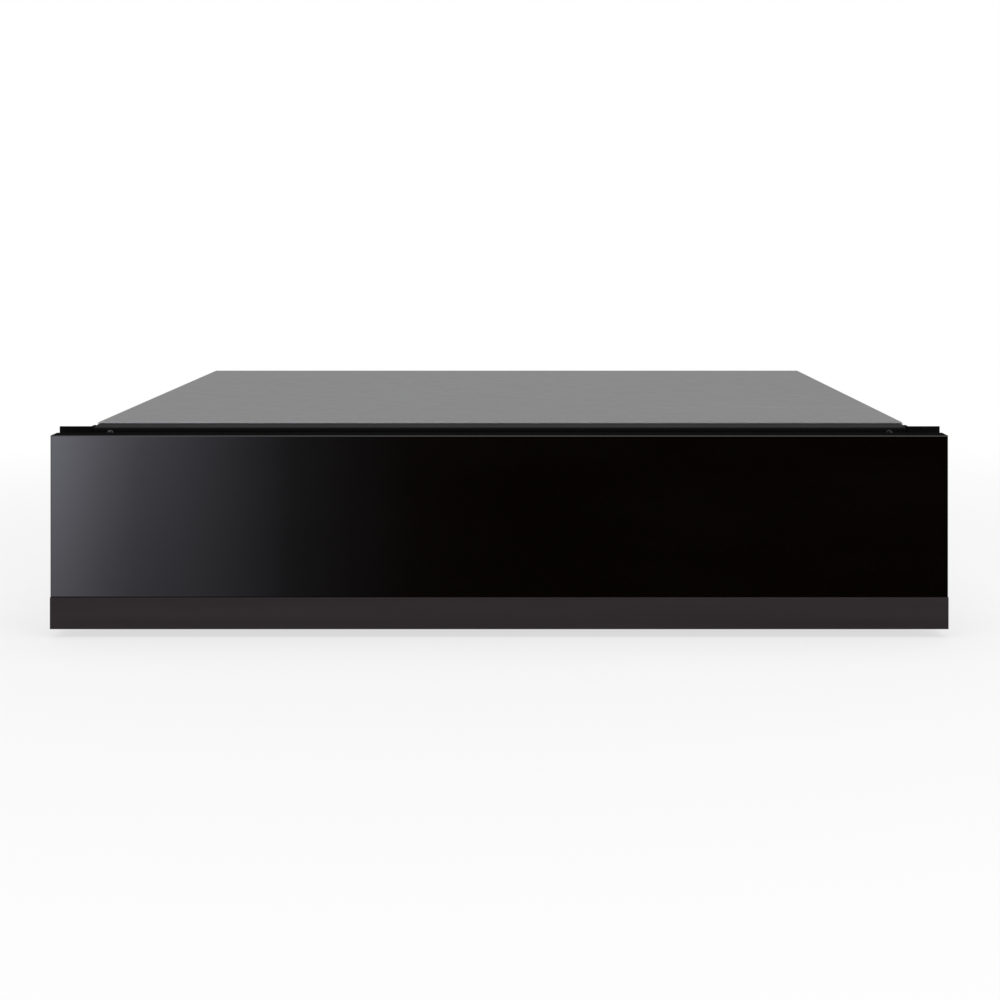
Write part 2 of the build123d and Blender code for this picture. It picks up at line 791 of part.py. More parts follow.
front_screw_x = drawer_inner_x - front_screw_inset
front_screw_heights = (drawer_lift + front_screw_margin, rim_z - front_screw_margin)
front_places = both_sides([(front_screw_x, front_back_y + drawer_sheet, z) for z in front_screw_heights])
with BuildPart() as front_carrier:
    slab((-carrier_x, carrier_x), (carrier_y, front_back_y), carrier_z)
    fillet(front_carrier.edges().filter_by(Axis.Y), carrier_sheet)
    slab((-tray_x, tray_x), (carrier_y + carrier_sheet, front_back_y), tray_z, mode=Mode.SUBTRACT)
save(front_carrier, "front_carrier")

with BuildPart() as front_insulation:
    slab(
        (insulation_gap - tray_x, tray_x - insulation_gap),
        (carrier_y + carrier_sheet, back_panel_y),
        (tray_z[0] + insulation_gap, tray_z[1] - insulation_gap),
    )
save(front_insulation, "front_insulation")

with BuildPart() as front_back_panel:
    slab((-tray_x, tray_x), (back_panel_y, front_back_y), tray_z)
    drill(planes(front_places, (0, 1, 0)), screw_hole_radius)
save(front_back_panel, "front_back_panel")
screw_group("front_screws", drawer_sheet + carrier_sheet, planes(front_places, (0, 1, 0)))

# Drawer side: a web with flanges inwards at the rim, the floor and the front
with BuildPart() as drawer_side_left:
    with BuildSketch(facing(drawer_back_y)):
        bent(
            [
                (drawer_flange - drawer_x, rim_z),
                (-drawer_x, rim_z),
                (-drawer_x, drawer_lift),
                (drawer_flange - drawer_x, drawer_lift),
            ],
            drawer_sheet,
            Side.LEFT,
        )
    extrude(amount=drawer_back_y - front_back_y)
    slab(
        (-drawer_x + drawer_sheet / 2, front_flange - drawer_inner_x),
        (front_back_y, front_back_y + drawer_sheet),
        (floor_top_z + drawer_sheet, rim_z - 2 * drawer_sheet),
    )
    drill(outward(runner_drawer_places[:runner_screw_count]), screw_hole_radius)
    drill(planes(front_places[:2], (0, 1, 0)), screw_hole_radius)
save(drawer_side_left, "drawer_side_left")
mirrored("drawer_side_right", drawer_side_left)

# Drawer floor on the sides' bottom flanges, with holes for the cable and the wires
with BuildPart() as drawer_floor:
    floor_x = wall_x - bend_inside
    slab((-floor_x, floor_x), (front_back_y, drawer_back_y), (floor_z, floor_top_z))
    with Locations((cable_moving_x, cable_hole_y, floor_top_z)):
        Hole(cable_radius + cable_hole_clearance, depth=2 * drawer_sheet)
    wire_holes = [
        (tab_x[1], control_y + wire_bend / 2, floor_top_z),
        (button_x, control_y + wire_bend / 2, floor_top_z),
        (first_wire_x, first_wire_y + wire_bend / 2, floor_top_z),
        (first_wire_x, cable_hole_y - wire_bend / 2, floor_top_z),
    ]
    with Locations(*wire_holes):
        Hole(wire_bend / 2 + wire_clearance, depth=2 * drawer_sheet)
save(drawer_floor, "drawer_floor")


def cross_wall(y, direction):
    """A wall across the drawer, with end flanges that point to -Y or +Y, in the open part."""
    far = y + direction * wall_flange
    side = Side.LEFT if direction > 0 else Side.RIGHT
    with BuildSketch(Plane.XY.offset(floor_top_z)) as section:
        bent([(-wall_x, far), (-wall_x, y), (wall_x, y), (wall_x, far)], drawer_sheet, side)
    extrude(section.sketch, amount=rim_z - drawer_sheet - bend_inside - floor_top_z)


with BuildPart() as drawer_inner_front:
    cross_wall(control_back_y, -1)
save(drawer_inner_front, "drawer_inner_front")

# Rear grille: rings of intake holes before the fan, and a bank of outlet slots on each side
with BuildPart() as drawer_rear_grille:
    cross_wall(grille_y, 1)
    with BuildSketch(facing(grille_y + drawer_sheet)):
        with Locations((0, fan_z)):
            Circle(grille_hole_radius)
            for ring in range(1, hole_ring_count + 1):
                with PolarLocations(ring * hole_ring_pitch, 6 * ring):
                    Circle(grille_hole_radius)
            with GridLocations(2 * outlet_x, 0, 2, 1):
                with GridLocations(vent_pitch, 0, int(outlet_bank // vent_pitch), 1):
                    SlotOverall(outlet_height, vent_width, rotation=90)
    extrude(amount=drawer_sheet, mode=Mode.SUBTRACT)
save(drawer_rear_grille, "drawer_rear_grille")

with BuildPart() as drawer_back_cover:
    cross_wall(drawer_back_y, -1)
    with BuildSketch(facing(drawer_back_y)):
        with Locations((0, fan_z)):
            Circle(2 * shaft_radius)
        with Locations((pin_x, tube_low_z), (pin_x, tube_high_z)):
            Circle(wire_radius + wire_clearance)
    extrude(amount=drawer_sheet, mode=Mode.SUBTRACT)
save(drawer_back_cover, "drawer_back_cover")

with BuildPart() as heater_lid:
    slab((-drawer_x, drawer_x), (grille_y, drawer_back_y), (rim_z, rim_z + drawer_sheet))
    fillet(heater_lid.edges().filter_by(Axis.Z), drawer_sheet)
save(heater_lid, "heater_lid")

# Anti-slip mat on the drawer floor
with BuildPart() as base_mat:
    slab(
        (mat_gap - wall_x, wall_x - mat_gap),
        (control_back_y + mat_gap, grille_y - mat_gap),
        (floor_top_z, floor_top_z + mat_thickness),
    )
    fillet(base_mat.edges().filter_by(Axis.Z), mat_corner)
save(base_mat, "base_mat")

# Heating element: a hairpin of tube with a pin at each end, and its two brackets
with BuildPart() as heating_element:
    with BuildLine() as hairpin:
        Line((tube_half, tube_y, tube_low_z), (-tube_half, tube_y, tube_low_z))
        ThreePointArc(
            (-tube_half, tube_y, tube_low_z),
            (-tube_half - tube_spacing / 2, tube_y, fan_z),
            (-tube_half, tube_y, tube_high_z),
        )
        Line((-tube_half, tube_y, tube_high_z), (tube_half, tube_y, tube_high_z))
    with BuildSketch(Plane.YZ.offset(tube_half)):
        with Locations((tube_y, tube_low_z)):
            Circle(tube_radius)
    sweep(path=hairpin.wires()[0])
    with BuildSketch(Plane.YZ.offset(tube_half)):
        with Locations((tube_y, tube_low_z), (tube_y, tube_high_z)):
            Circle(pin_radius)
    extrude(amount=pin_length)
save(heating_element, "heating_element")

with BuildPart() as element_brackets:
    for x in (-bracket_x, bracket_x):
        slab(
            (x - bracket_sheet / 2, x + bracket_sheet / 2),
            (tube_y - tube_radius - bracket_margin, drawer_back_y - drawer_sheet),
            (tube_low_z - tube_radius - bracket_margin, tube_high_z + tube_radius + bracket_margin),
        )
    with BuildSketch(Plane.YZ.offset(-bracket_x - bracket_sheet)):
        with Locations((tube_y, tube_low_z), (tube_y, tube_high_z)):
            Circle(tube_radius + bracket_clearance)
    extrude(amount=2 * (bracket_x + bracket_sheet), mode=Mode.SUBTRACT)
save(element_brackets, "element_brackets")

# Fan: a wheel on its shaft, and the motor behind the back cover
wheel_y = grille_y + drawer_sheet + wheel_gap
wheel_back_y = wheel_y + wheel_width
motor_end_y = drawer_back_y + motor_length
shaft_end_y = motor_end_y - motor_bore_end - shaft_clearance
with BuildPart() as fan_wheel:
    with BuildSketch(facing(wheel_back_y)):
        with Locations((0, fan_z)):
            Circle(wheel_radius)
    extrude(amount=wheel_disc)
    with BuildSketch(facing(wheel_back_y)):
        with Locations((0, fan_z)):
            Circle(wheel_hub_radius)
            blade_length = wheel_radius - wheel_hub_radius
            with PolarLocations((wheel_radius + wheel_hub_radius) / 2, wheel_blades):
                Rectangle(blade_length + wheel_blade, wheel_blade, rotation=18)
    extrude(amount=wheel_width)
    with BuildSketch(facing(wheel_back_y)):
        with Locations((0, fan_z)):
            Circle(shaft_radius)
    extrude(amount=wheel_width, mode=Mode.SUBTRACT)
save(fan_wheel, "fan_wheel")

with BuildPart() as fan_shaft:
    with BuildSketch(facing(shaft_end_y)):
        with Locations((0, fan_z)):
            Circle(shaft_radius)
    extrude(amount=shaft_end_y - wheel_y + shaft_nose)
save(fan_shaft, "fan_shaft")

with BuildPart() as fan_motor:
    with BuildSketch(facing(motor_end_y)):
        with Locations((0, fan_z)):
            Circle(motor_radius)
    extrude(amount=motor_length)
    fillet(fan_motor.edges().group_by(Axis.Y)[-1], motor_edge)
    fin_count = int((motor_length - 2 * motor_fin_pitch) // motor_fin_pitch)
    fin_start = drawer_back_y + motor_flange_sheet + motor_fin_pitch
    for i in range(fin_count):
        with BuildSketch(facing(fin_start + i * motor_fin_pitch)):
            with Locations((0, fan_z)):
                Circle(motor_radius + motor_fin_depth)
                Circle(motor_radius - motor_fin_depth, mode=Mode.SUBTRACT)
        extrude(amount=motor_fin_width, mode=Mode.SUBTRACT)
    with BuildSketch(facing(drawer_back_y + motor_flange_sheet)):
        with Locations((0, fan_z)):
            RectangleRounded(motor_flange, motor_flange_height, motor_fin_pitch)
    extrude(amount=motor_flange_sheet)
    with BuildSketch(facing(motor_end_y - motor_bore_end)):
        with Locations((0, fan_z)):
            Circle(shaft_radius + shaft_clearance)
    extrude(amount=motor_length - motor_bore_end, mode=Mode.SUBTRACT)
save(fan_motor, "fan_motor")

# Overheat cut-out on the back cover: a flanged disc with two tab terminals
with BuildPart() as overheat_cutout:
    with Locations(Plane((cutout_x, drawer_back_y, fan_z), z_dir=(0, 1, 0))):
        seat = (Align.CENTER, Align.CENTER, Align.MIN)
        Cylinder(cutout_flange_radius, cutout_flange, align=seat)
        Cylinder(cutout_radius, cutout_length, align=seat)
    tab_y = drawer_back_y + cutout_length
    for x in tab_x:
        slab(
            (x - cutout_tab_sheet / 2, x + cutout_tab_sheet / 2),
            (tab_y, tab_y + cutout_tab),
            (fan_z - cutout_tab_width / 2, fan_z + cutout_tab_width / 2),
        )
save(overheat_cutout, "overheat_cutout")

# Control fascia: a shallow cap over the space between the front and the inner wall
with BuildPart() as control_fascia:
    slab((-drawer_x, drawer_x), (front_back_y, control_back_y), (rim_z, fascia_z))
    fillet(control_fascia.edges().filter_by(Axis.Z).group_by(Axis.Y)[-1], fascia_corner)
    fillet(control_fascia.faces().sort_by(Axis.Z)[-1].edges().group_by(Axis.Y)[-1], fascia_corner / 2)
    slab(
        (fascia_wall - drawer_x, drawer_x - fascia_wall),
        (front_back_y + fascia_wall, control_back_y - fascia_wall),
        (rim_z, fascia_under_z),
        mode=Mode.SUBTRACT,
    )
    with BuildSketch(Plane.XY.offset(fascia_z)):
        with Locations((knob_x, control_y)):
            Circle(spindle_radius + spindle_clearance)
        with Locations((button_x, control_y)):
            Circle(button_radius + button_clearance)
        with Locations((lens_x, control_y)):
            Circle(lens_radius + lens_clearance)
    extrude(amount=-fascia_top, mode=Mode.SUBTRACT)
save(control_fascia, "control_fascia")

# Thermostat under the fascia, and its fluted knob on a spindle
with BuildPart() as thermostat_body:
    half = thermostat_size / 2
    slab(
        (knob_x - half, knob_x + half),
        (control_y - half, control_y + half),
        (fascia_under_z - thermostat_height, fascia_under_z),
    )
    with Locations((knob_x, control_y, fascia_under_z)):
        Hole(spindle_radius + spindle_clearance, depth=spindle_depth + knob_gap)
save(thermostat_body, "thermostat_body")

knob_z = fascia_z + knob_gap
with BuildPart() as thermostat_knob:
    with BuildSketch(Plane.XY.offset(knob_z)):
        with Locations((knob_x, control_y)):
            Circle(knob_radius)
    extrude(amount=knob_height)
    fillet(thermostat_knob.edges().group_by(Axis.Z)[-1], knob_edge)
    with BuildSketch(Plane.XY.offset(knob_z)):
        with Locations((knob_x, control_y)):
            with PolarLocations(knob_radius, knob_flutes):
                Circle(knob_flute_radius)
    extrude(amount=knob_height, mode=Mode.SUBTRACT)
    with BuildSketch(Plane.XY.offset(knob_z + knob_height)):
        with Locations((knob_x, control_y - knob_radius / 2)):
            SlotOverall(knob_radius / 2, pointer_width, rotation=90)
    extrude(amount=-pointer_depth, mode=Mode.SUBTRACT)
    with BuildSketch(Plane.XY.offset(knob_z)):
        with Locations((knob_x, control_y)):
            Circle(spindle_radius)
    extrude(amount=-(knob_gap + fascia_top + spindle_depth))
save(thermostat_knob, "thermostat_knob")

# Power switch under the fascia, and its push button
button_top_z = fascia_z + button_proud
button_low_z = button_top_z - button_length
with BuildPart() as switch_body:
    half = switch_size / 2
    slab(
        (button_x - half, button_x + half),
        (control_y - half, control_y + half),
        (fascia_under_z - switch_height, fascia_under_z),
    )
    with Locations((button_x, control_y, fascia_under_z)):
        well_depth = fascia_under_z - button_low_z + button_travel + switch_floor_gap
        Hole(button_radius + button_clearance, depth=well_depth)
save(switch_body, "switch_body")

with BuildPart() as power_button:
    with BuildSketch(Plane.XY.offset(button_low_z)):
        with Locations((button_x, control_y)):
            Circle(button_radius)
    extrude(amount=button_length)
    fillet(power_button.edges().group_by(Axis.Z)[-1], button_edge)
save(power_button, "power_button")

# Pilot lens, held by a flange under the fascia
with BuildPart() as pilot_lens:
    with BuildSketch(Plane.XY.offset(fascia_z + lens_proud - lens_length)):
        with Locations((lens_x, control_y)):
            Circle(lens_radius)
    extrude(amount=lens_length)
    fillet(pilot_lens.edges().group_by(Axis.Z)[-1], lens_proud / 2)
    with BuildSketch(Plane.XY.offset(fascia_under_z - lens_flange_height)):
        with Locations((lens_x, control_y)):
            Circle(lens_radius + lens_flange)
    extrude(amount=lens_flange_height)
save(pilot_lens, "pilot_lens")

# Wiring loom: supply to switch, switch to thermostat and fan, thermostat to cut-out and heater, and back
wire_z = floor_z - wire_gap - wire_radius
cable_top_z = floor_top_z + cable_tail
turn_z = cable_top_z + wire_bend + 2 * wire_radius
switch_low_z = fascia_under_z - switch_height
switch_wire_z = switch_low_z + 4 * wire_radius
link_z = fascia_under_z - thermostat_height / 2
step_x = motor_radius + wire_step


def wire(*points):
    """One insulated wire along a bent line, in the open part."""
    with BuildLine() as line:
        if len(points) > 2:
            FilletPolyline(*points, radius=wire_bend)
        else:
            Line(*points)
    with BuildSketch(Plane(points[0], z_dir=Vector(*points[1]) - Vector(*points[0]))) as section:
        Circle(wire_radius)
    sweep(section.sketch, path=line.wires()[0])


with BuildPart() as wiring_loom:
    wire(
        (cable_moving_x, cable_hole_y, cable_top_z),
        (cable_moving_x, cable_hole_y, turn_z),
        (first_wire_x, cable_hole_y, turn_z),
        (first_wire_x, cable_hole_y, wire_z),
        (first_wire_x, first_wire_y, wire_z),
        (first_wire_x, first_wire_y, switch_wire_z),
        (switch_side_x, first_wire_y, switch_wire_z),
    )
    wire((switch_side_x, link_y, link_z), (knob_x - thermostat_size / 2, link_y, link_z))
    wire(
        (button_x, control_y, switch_low_z),
        (button_x, control_y, wire_z),
        (button_x, wire_back_y, wire_z),
        (button_x, wire_back_y, fan_z),
        (-motor_radius, wire_back_y, fan_z),
    )
    wire(
        (tab_x[1], control_y, fascia_under_z - thermostat_height),
        (tab_x[1], control_y, wire_z),
        (tab_x[1], wire_back_y, wire_z),
        (tab_x[1], wire_back_y, fan_z - cutout_tab_width / 2),
    )
    wire(
        (tab_x[0], wire_back_y, fan_z + cutout_tab_width / 2),
        (tab_x[0], wire_back_y, tube_high_z),
        (pin_x, wire_back_y, tube_high_z),
        (pin_x, tube_y + pin_radius, tube_high_z),
    )
    wire(
        (pin_x, tube_y + pin_radius, tube_low_z),
        (pin_x, return_y, tube_low_z),
        (step_x, return_y, tube_low_z),
        (step_x, return_y, fan_z),
        (motor_radius, return_y, fan_z),
    )
save(wiring_loom, "wiring_loom")
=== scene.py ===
import bmesh
import bpy
import json
import math
from mathutils import Matrix, Vector


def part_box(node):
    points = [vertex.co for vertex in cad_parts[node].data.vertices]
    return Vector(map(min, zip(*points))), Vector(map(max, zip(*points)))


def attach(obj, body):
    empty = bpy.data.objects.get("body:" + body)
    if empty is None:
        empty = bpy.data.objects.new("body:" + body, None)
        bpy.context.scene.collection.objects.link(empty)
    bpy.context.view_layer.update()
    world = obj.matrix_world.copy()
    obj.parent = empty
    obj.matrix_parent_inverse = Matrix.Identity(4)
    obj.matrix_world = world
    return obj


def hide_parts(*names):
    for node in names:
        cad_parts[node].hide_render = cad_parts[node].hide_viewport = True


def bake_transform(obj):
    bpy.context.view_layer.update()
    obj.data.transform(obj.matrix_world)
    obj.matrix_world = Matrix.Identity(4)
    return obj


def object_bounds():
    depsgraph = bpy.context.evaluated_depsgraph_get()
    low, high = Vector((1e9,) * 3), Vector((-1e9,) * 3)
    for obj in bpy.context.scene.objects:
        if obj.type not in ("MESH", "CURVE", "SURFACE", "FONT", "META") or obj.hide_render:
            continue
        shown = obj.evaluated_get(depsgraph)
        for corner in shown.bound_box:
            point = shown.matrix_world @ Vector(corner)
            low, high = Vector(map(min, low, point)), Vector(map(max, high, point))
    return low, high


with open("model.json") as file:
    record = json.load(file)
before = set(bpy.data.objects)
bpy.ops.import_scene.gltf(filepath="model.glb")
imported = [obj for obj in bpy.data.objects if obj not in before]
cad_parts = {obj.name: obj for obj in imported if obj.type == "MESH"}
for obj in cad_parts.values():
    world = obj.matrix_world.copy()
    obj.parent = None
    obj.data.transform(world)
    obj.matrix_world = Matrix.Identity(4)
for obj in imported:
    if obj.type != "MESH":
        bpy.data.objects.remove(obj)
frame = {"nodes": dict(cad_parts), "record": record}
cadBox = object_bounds()
nodes = frame["nodes"]
scene = bpy.context.scene


def linkObject(name, data):
    obj = bpy.data.objects.new(name, data)
    scene.collection.objects.link(obj)
    return obj


# the shape that a holder shows, as a plain mesh, after which the holder is removed
def plainMesh(holder, name):
    ready = holder.evaluated_get(bpy.context.evaluated_depsgraph_get())
    mesh = bpy.data.meshes.new_from_object(ready)
    mesh.name = name
    holder.modifiers.clear()
    bpy.data.objects.remove(holder)
    return mesh


def boxMiddle(low, high, level):
    return Vector(((low.x + high.x) / 2, (low.y + high.y) / 2, level))


def colour(red, green, blue):
    return (red, green, blue, 1.0)


def grey(level):
    return colour(level, level, level)


# camera: level and straight on, the framing comes from the lens shift
photoView = {
    "imageWidth": 1000.0,  # px
    "focal": 1887.5,  # px
    "middle": 523.4,  # px, straight ahead
    "horizon": 236.0,  # px from the top
    "distance": 1.249,  # in front of the front face
    "height": 0.2658,
    "side": 0.016,
    "sensor": 36.0,  # mm
    "clipStart": 0.01,
}


def setCamera(view):
    lens = bpy.data.cameras.new("photoCamera")
    lens.sensor_width = view["sensor"]
    lens.lens = view["sensor"] * view["focal"] / view["imageWidth"]
    lens.shift_x = 0.5 - view["middle"] / view["imageWidth"]
    lens.shift_y = view["horizon"] / view["imageWidth"] - 0.5
    lens.clip_start = view["clipStart"]
    camera = linkObject("photoCamera", lens)
    camera.location = (view["side"], cadBox[0].y - view["distance"], view["height"])
    camera.rotation_euler = (math.radians(90), 0, 0)
    scene.camera = camera
    scene.view_settings.view_transform = "Standard"


setCamera(photoView)
print("camera set")


# shader maths: a Wire is one value in a node tree, and arithmetic on it adds Math nodes
class Wire:
    def __init__(self, bench, socket):
        self.bench = bench
        self.socket = socket

    def calc(self, operation, first, second):
        return self.bench.node("ShaderNodeMath", {"operation": operation}, {0: first, 1: second})

    def __add__(self, other):
        return self.calc("ADD", self, other)

    def __radd__(self, other):
        return self.calc("ADD", other, self)

    def __sub__(self, other):
        return self.calc("SUBTRACT", self, other)

    def __rsub__(self, other):
        return self.calc("SUBTRACT", other, self)

    def __mul__(self, other):
        return self.calc("MULTIPLY", self, other)

    def __rmul__(self, other):
        return self.calc("MULTIPLY", other, self)

    def __truediv__(self, other):
        return self.calc("DIVIDE", self, other)

    def atLeast(self, other):
        return self.calc("MAXIMUM", self, other)

    def angleTo(self, other):
        return self.calc("ARCTAN2", self, other)


# a Bench builds one node tree
class Bench:
    def __init__(self, tree):
        self.tree = tree
        self.tree.nodes.clear()

    def node(self, kind, settings=None, sockets=None, out=0):
        made = self.tree.nodes.new(kind)
        for key, value in (settings or {}).items():
            if key == "stops":
                self.setStops(made.color_ramp, value)
            else:
                setattr(made, key, value)
        for key, value in (sockets or {}).items():
            self.feed(made.inputs[key], value)
        return Wire(self, made.outputs[out])

    def feed(self, socket, value):
        wires = value if isinstance(value, list) else [value]
        for wire in wires:
            if isinstance(wire, Wire):
                self.tree.links.new(wire.socket, socket)
            else:
                socket.default_value = wire

    def setStops(self, ramp, stops):
        while len(ramp.elements) < len(stops):
            ramp.elements.new(1.0)
        for element, (place, level) in zip(ramp.elements, stops):
            element.position = place
            element.color = grey(level)

    def spread(self, value, low, high, newLow=0.0, newHigh=1.0):
        return self.node(
            "ShaderNodeMapRange",
            {"interpolation_type": "SMOOTHSTEP"},
            {"Value": value, "From Min": low, "From Max": high, "To Min": newLow, "To Max": newHigh},
        )

    def blendColour(self, factor, first, second):
        return self.node("ShaderNodeMix", {"data_type": "RGBA"}, {0: factor, 6: first, 7: second}, out=2)

    def vectorCalc(self, operation, first, second):
        return self.node("ShaderNodeVectorMath", {"operation": operation}, {0: first, 1: second})


# a Finish is a material with one Principled shader, on Object coordinates
class Finish(Bench):
    def __init__(self, name):
        self.material = bpy.data.materials.new(name)
        self.material.use_nodes = True
        super().__init__(self.material.node_tree)
        self.shader = self.tree.nodes.new("ShaderNodeBsdfPrincipled")
        self.output = self.tree.nodes.new("ShaderNodeOutputMaterial")
        self.tree.links.new(self.shader.outputs[0], self.output.inputs["Surface"])
        self.place = self.node("ShaderNodeTexCoord", out="Object")

    # a stretch below 1 draws the pattern out along that axis
    def noise(self, scale, detail=3.0, stretch=(1, 1, 1), rough=0.5):
        place = self.node("ShaderNodeMapping", {}, {"Vector": self.place, "Scale": stretch})
        return self.node(
            "ShaderNodeTexNoise",
            {"noise_dimensions": "3D"},
            {"Vector": place, "Scale": scale, "Detail": detail, "Roughness": rough},
        )

    def cells(self, scale, out="Distance"):
        return self.node("ShaderNodeTexVoronoi", {}, {"Vector": self.place, "Scale": scale}, out=out)

    def facing(self, axis):
        normal = self.node("ShaderNodeTexCoord", out="Normal")
        return self.node("ShaderNodeSeparateXYZ", {}, {0: normal}, out=axis)

    def bump(self, height, strength, distance):
        sockets = {"Height": height, "Strength": strength, "Distance": distance}
        self.feed(self.shader.inputs["Normal"], self.node("ShaderNodeBump", {}, sockets))

    def wear(self, sockets):
        for key, value in sockets.items():
            self.feed(self.shader.inputs[key], value)
        return self.material


# front glass: near black, with a thin film of wiping marks and a little dust
glassLook = {
    "clean": colour(0.0019, 0.0010, 0.0004),
    "filmed": colour(0.0026, 0.0017, 0.0010),
    "dust": colour(0.020, 0.020, 0.021),
    "dustAmount": 0.25,
    "roughness": 0.022,
    "filmRoughness": 0.035,
    "dustRoughness": 0.10,
    "roll": 0.02,  # slight roll of float glass
    "ior": 1.5,
}


def blackGlass(look):
    finish = Finish("blackGlass")
    haze = finish.noise(scale=7.0, detail=5.0, stretch=(1.0, 1.0, 1.6))
    wipe = finish.noise(scale=26.0, detail=4.0, stretch=(0.25, 1.0, 1.0))
    dust = finish.spread(finish.noise(scale=1400.0, detail=2.0), low=0.70, high=0.82)
    film = finish.spread(haze * wipe, low=0.16, high=0.40)
    tone = finish.blendColour(film, look["clean"], look["filmed"])
    tone = finish.blendColour(dust * look["dustAmount"], tone, look["dust"])
    finish.bump(finish.noise(scale=4.0, detail=1.0), look["roll"], distance=0.002)
    roughness = look["roughness"] + look["filmRoughness"] * film + look["dustRoughness"] * dust
    return finish.wear({"Base Color": tone, "Roughness": roughness, "IOR": look["ior"]})


# lacquered strip under the glass, with faint streaks along it
stripLook = {
    "dark": colour(0.0300, 0.0235, 0.0252),
    "light": colour(0.0355, 0.0288, 0.0306),
    "roughness": 0.55,
    "streakRoughness": 0.10,
    "grain": 0.10,
    "ior": 1.45,
    "shine": 0.15,
}


def stripLacquer(look):
    finish = Finish("stripLacquer")
    streak = finish.noise(scale=60.0, detail=4.0, stretch=(0.08, 1.0, 2.0))
    tone = finish.blendColour(finish.spread(streak, low=0.30, high=0.70), look["dark"], look["light"])
    finish.bump(finish.noise(scale=2600.0, detail=2.0), look["grain"], distance=0.0002)
    return finish.wear(
        {
            "Base Color": tone,
            "Roughness": look["roughness"] + look["streakRoughness"] * streak,
            "IOR": look["ior"],
            "Specular IOR Level": look["shine"],
        }
    )


# powder coat of the frame and the front's steel, with orange peel and pale flecks
powderLook = {
    "dark": colour(0.0045, 0.0045, 0.0049),
    "light": colour(0.0075, 0.0074, 0.0078),
    "fleck": colour(0.018, 0.018, 0.019),
    "fleckAmount": 0.35,
    "peel": 0.22,
    "roughness": 0.62,
    "patchRoughness": 0.14,
    "ior": 1.42,
    "shine": 0.035,
}


def powderBlack(look):
    finish = Finish("powderBlack")
    patch = finish.noise(scale=18.0, detail=4.0)
    away = finish.spread(finish.cells(scale=2100.0), low=0.02, high=0.16)
    tone = finish.blendColour(patch, look["dark"], look["light"])
    tone = finish.blendColour((1 - away) * look["fleckAmount"], tone, look["fleck"])
    finish.bump(finish.noise(scale=1100.0, detail=2.0), look["peel"], distance=0.0003)
    return finish.wear(
        {
            "Base Color": tone,
            "Roughness": look["roughness"] + look["patchRoughness"] * patch,
            "IOR": look["ior"],
            "Specular IOR Level": look["shine"],
        }
    )


# blackened screws of the frame, rubbed bright in places
blackScrewLook = {
    "black": colour(0.030, 0.030, 0.032),
    "rubbed": colour(0.19, 0.18, 0.17),
    "metallic": 0.75,
    "roughness": 0.34,
    "rubRoughness": 0.14,
}


def blackenedScrew(look):
    finish = Finish("blackenedScrew")
    rub = finish.spread(finish.noise(scale=620.0, detail=3.0), low=0.50, high=0.72)
    tone = finish.blendColour(rub, look["black"], look["rubbed"])
    finish.bump(rub, strength=0.15, distance=0.0001)
    roughness = look["roughness"] + look["rubRoughness"] * rub
    return finish.wear({"Base Color": tone, "Metallic": look["metallic"], "Roughness": roughness})


# galvanised sheet: rolling marks, spangle, a few scuffs, and a painted highlight that lightens every face
# turned to the front
galvanisedLook = {
    "dull": 0.178,
    "bright": 0.213,
    "dullDrop": 0.045,  # for each unit of mottle
    "brightRise": 0.075,
    "coolness": 1.01,
    "cloud": 0.25,
    "scuff": grey(0.34),
    "scuffAmount": 0.12,
    # pale grey of the painted highlight on faces turned to the front
    "paintedHighlightGrey": grey(0.60),
    "metallic": 0.45,
    "roughness": 0.48,
    "rolledRoughness": 0.06,
    "flakeRoughness": 0.04,
    "mottleRoughness": 0.12,
    "specularTint": colour(0.45, 0.45, 0.46),
    "shine": 0.25,
    "mottle": 0.25,  # share of the spangle
    "topMottle": 0.15,
}


def galvanisedSheet(name, look, grain, mottle):
    finish = Finish(name)
    spangle = finish.cells(scale=105.0, out="Color")
    flake = finish.node("ShaderNodeSeparateColor", {}, {0: spangle})
    rolled = finish.noise(scale=60.0, detail=5.0, stretch=grain)
    cloud = finish.noise(scale=5.0, detail=3.0)
    scuff = finish.spread(finish.noise(scale=75.0, detail=3.0, stretch=grain), low=0.66, high=0.74)
    # painted highlight: faces whose normal points to the front (-Y) are lightened towards pale grey,
    # standing in for the bright edge that light gives
    paintedFrontHighlight = finish.spread(0 - finish.facing("Y"), low=0.60, high=0.95)
    shade = (1 - look["cloud"] - mottle) * rolled + mottle * flake + look["cloud"] * cloud
    dull = look["dull"] - look["dullDrop"] * mottle
    bright = look["bright"] + look["brightRise"] * mottle
    tone = finish.blendColour(shade, grey(dull), colour(bright, bright, bright * look["coolness"]))
    tone = finish.blendColour(scuff * look["scuffAmount"], tone, look["scuff"])
    tone = finish.blendColour(paintedFrontHighlight, tone, look["paintedHighlightGrey"])
    finish.bump(finish.noise(scale=900.0, detail=2.0, stretch=grain), strength=0.06, distance=0.0002)
    flakeRoughness = look["flakeRoughness"] + look["mottleRoughness"] * mottle
    return finish.wear(
        {
            "Base Color": tone,
            "Metallic": look["metallic"],
            "Roughness": look["roughness"] + flakeRoughness * flake + look["rolledRoughness"] * rolled,
            "Specular Tint": look["specularTint"],
            "Specular IOR Level": look["shine"],
        }
    )


# brushed stainless of the drawer box, with dull touch marks
stainlessLook = {
    "dark": colour(0.46, 0.455, 0.445),
    "light": colour(0.62, 0.615, 0.60),
    "touched": colour(0.40, 0.395, 0.38),
    "touchAmount": 0.18,
    "fineShare": 0.6,
    "roughness": 0.27,
    "brushRoughness": 0.12,
    "touchRoughness": 0.08,
}


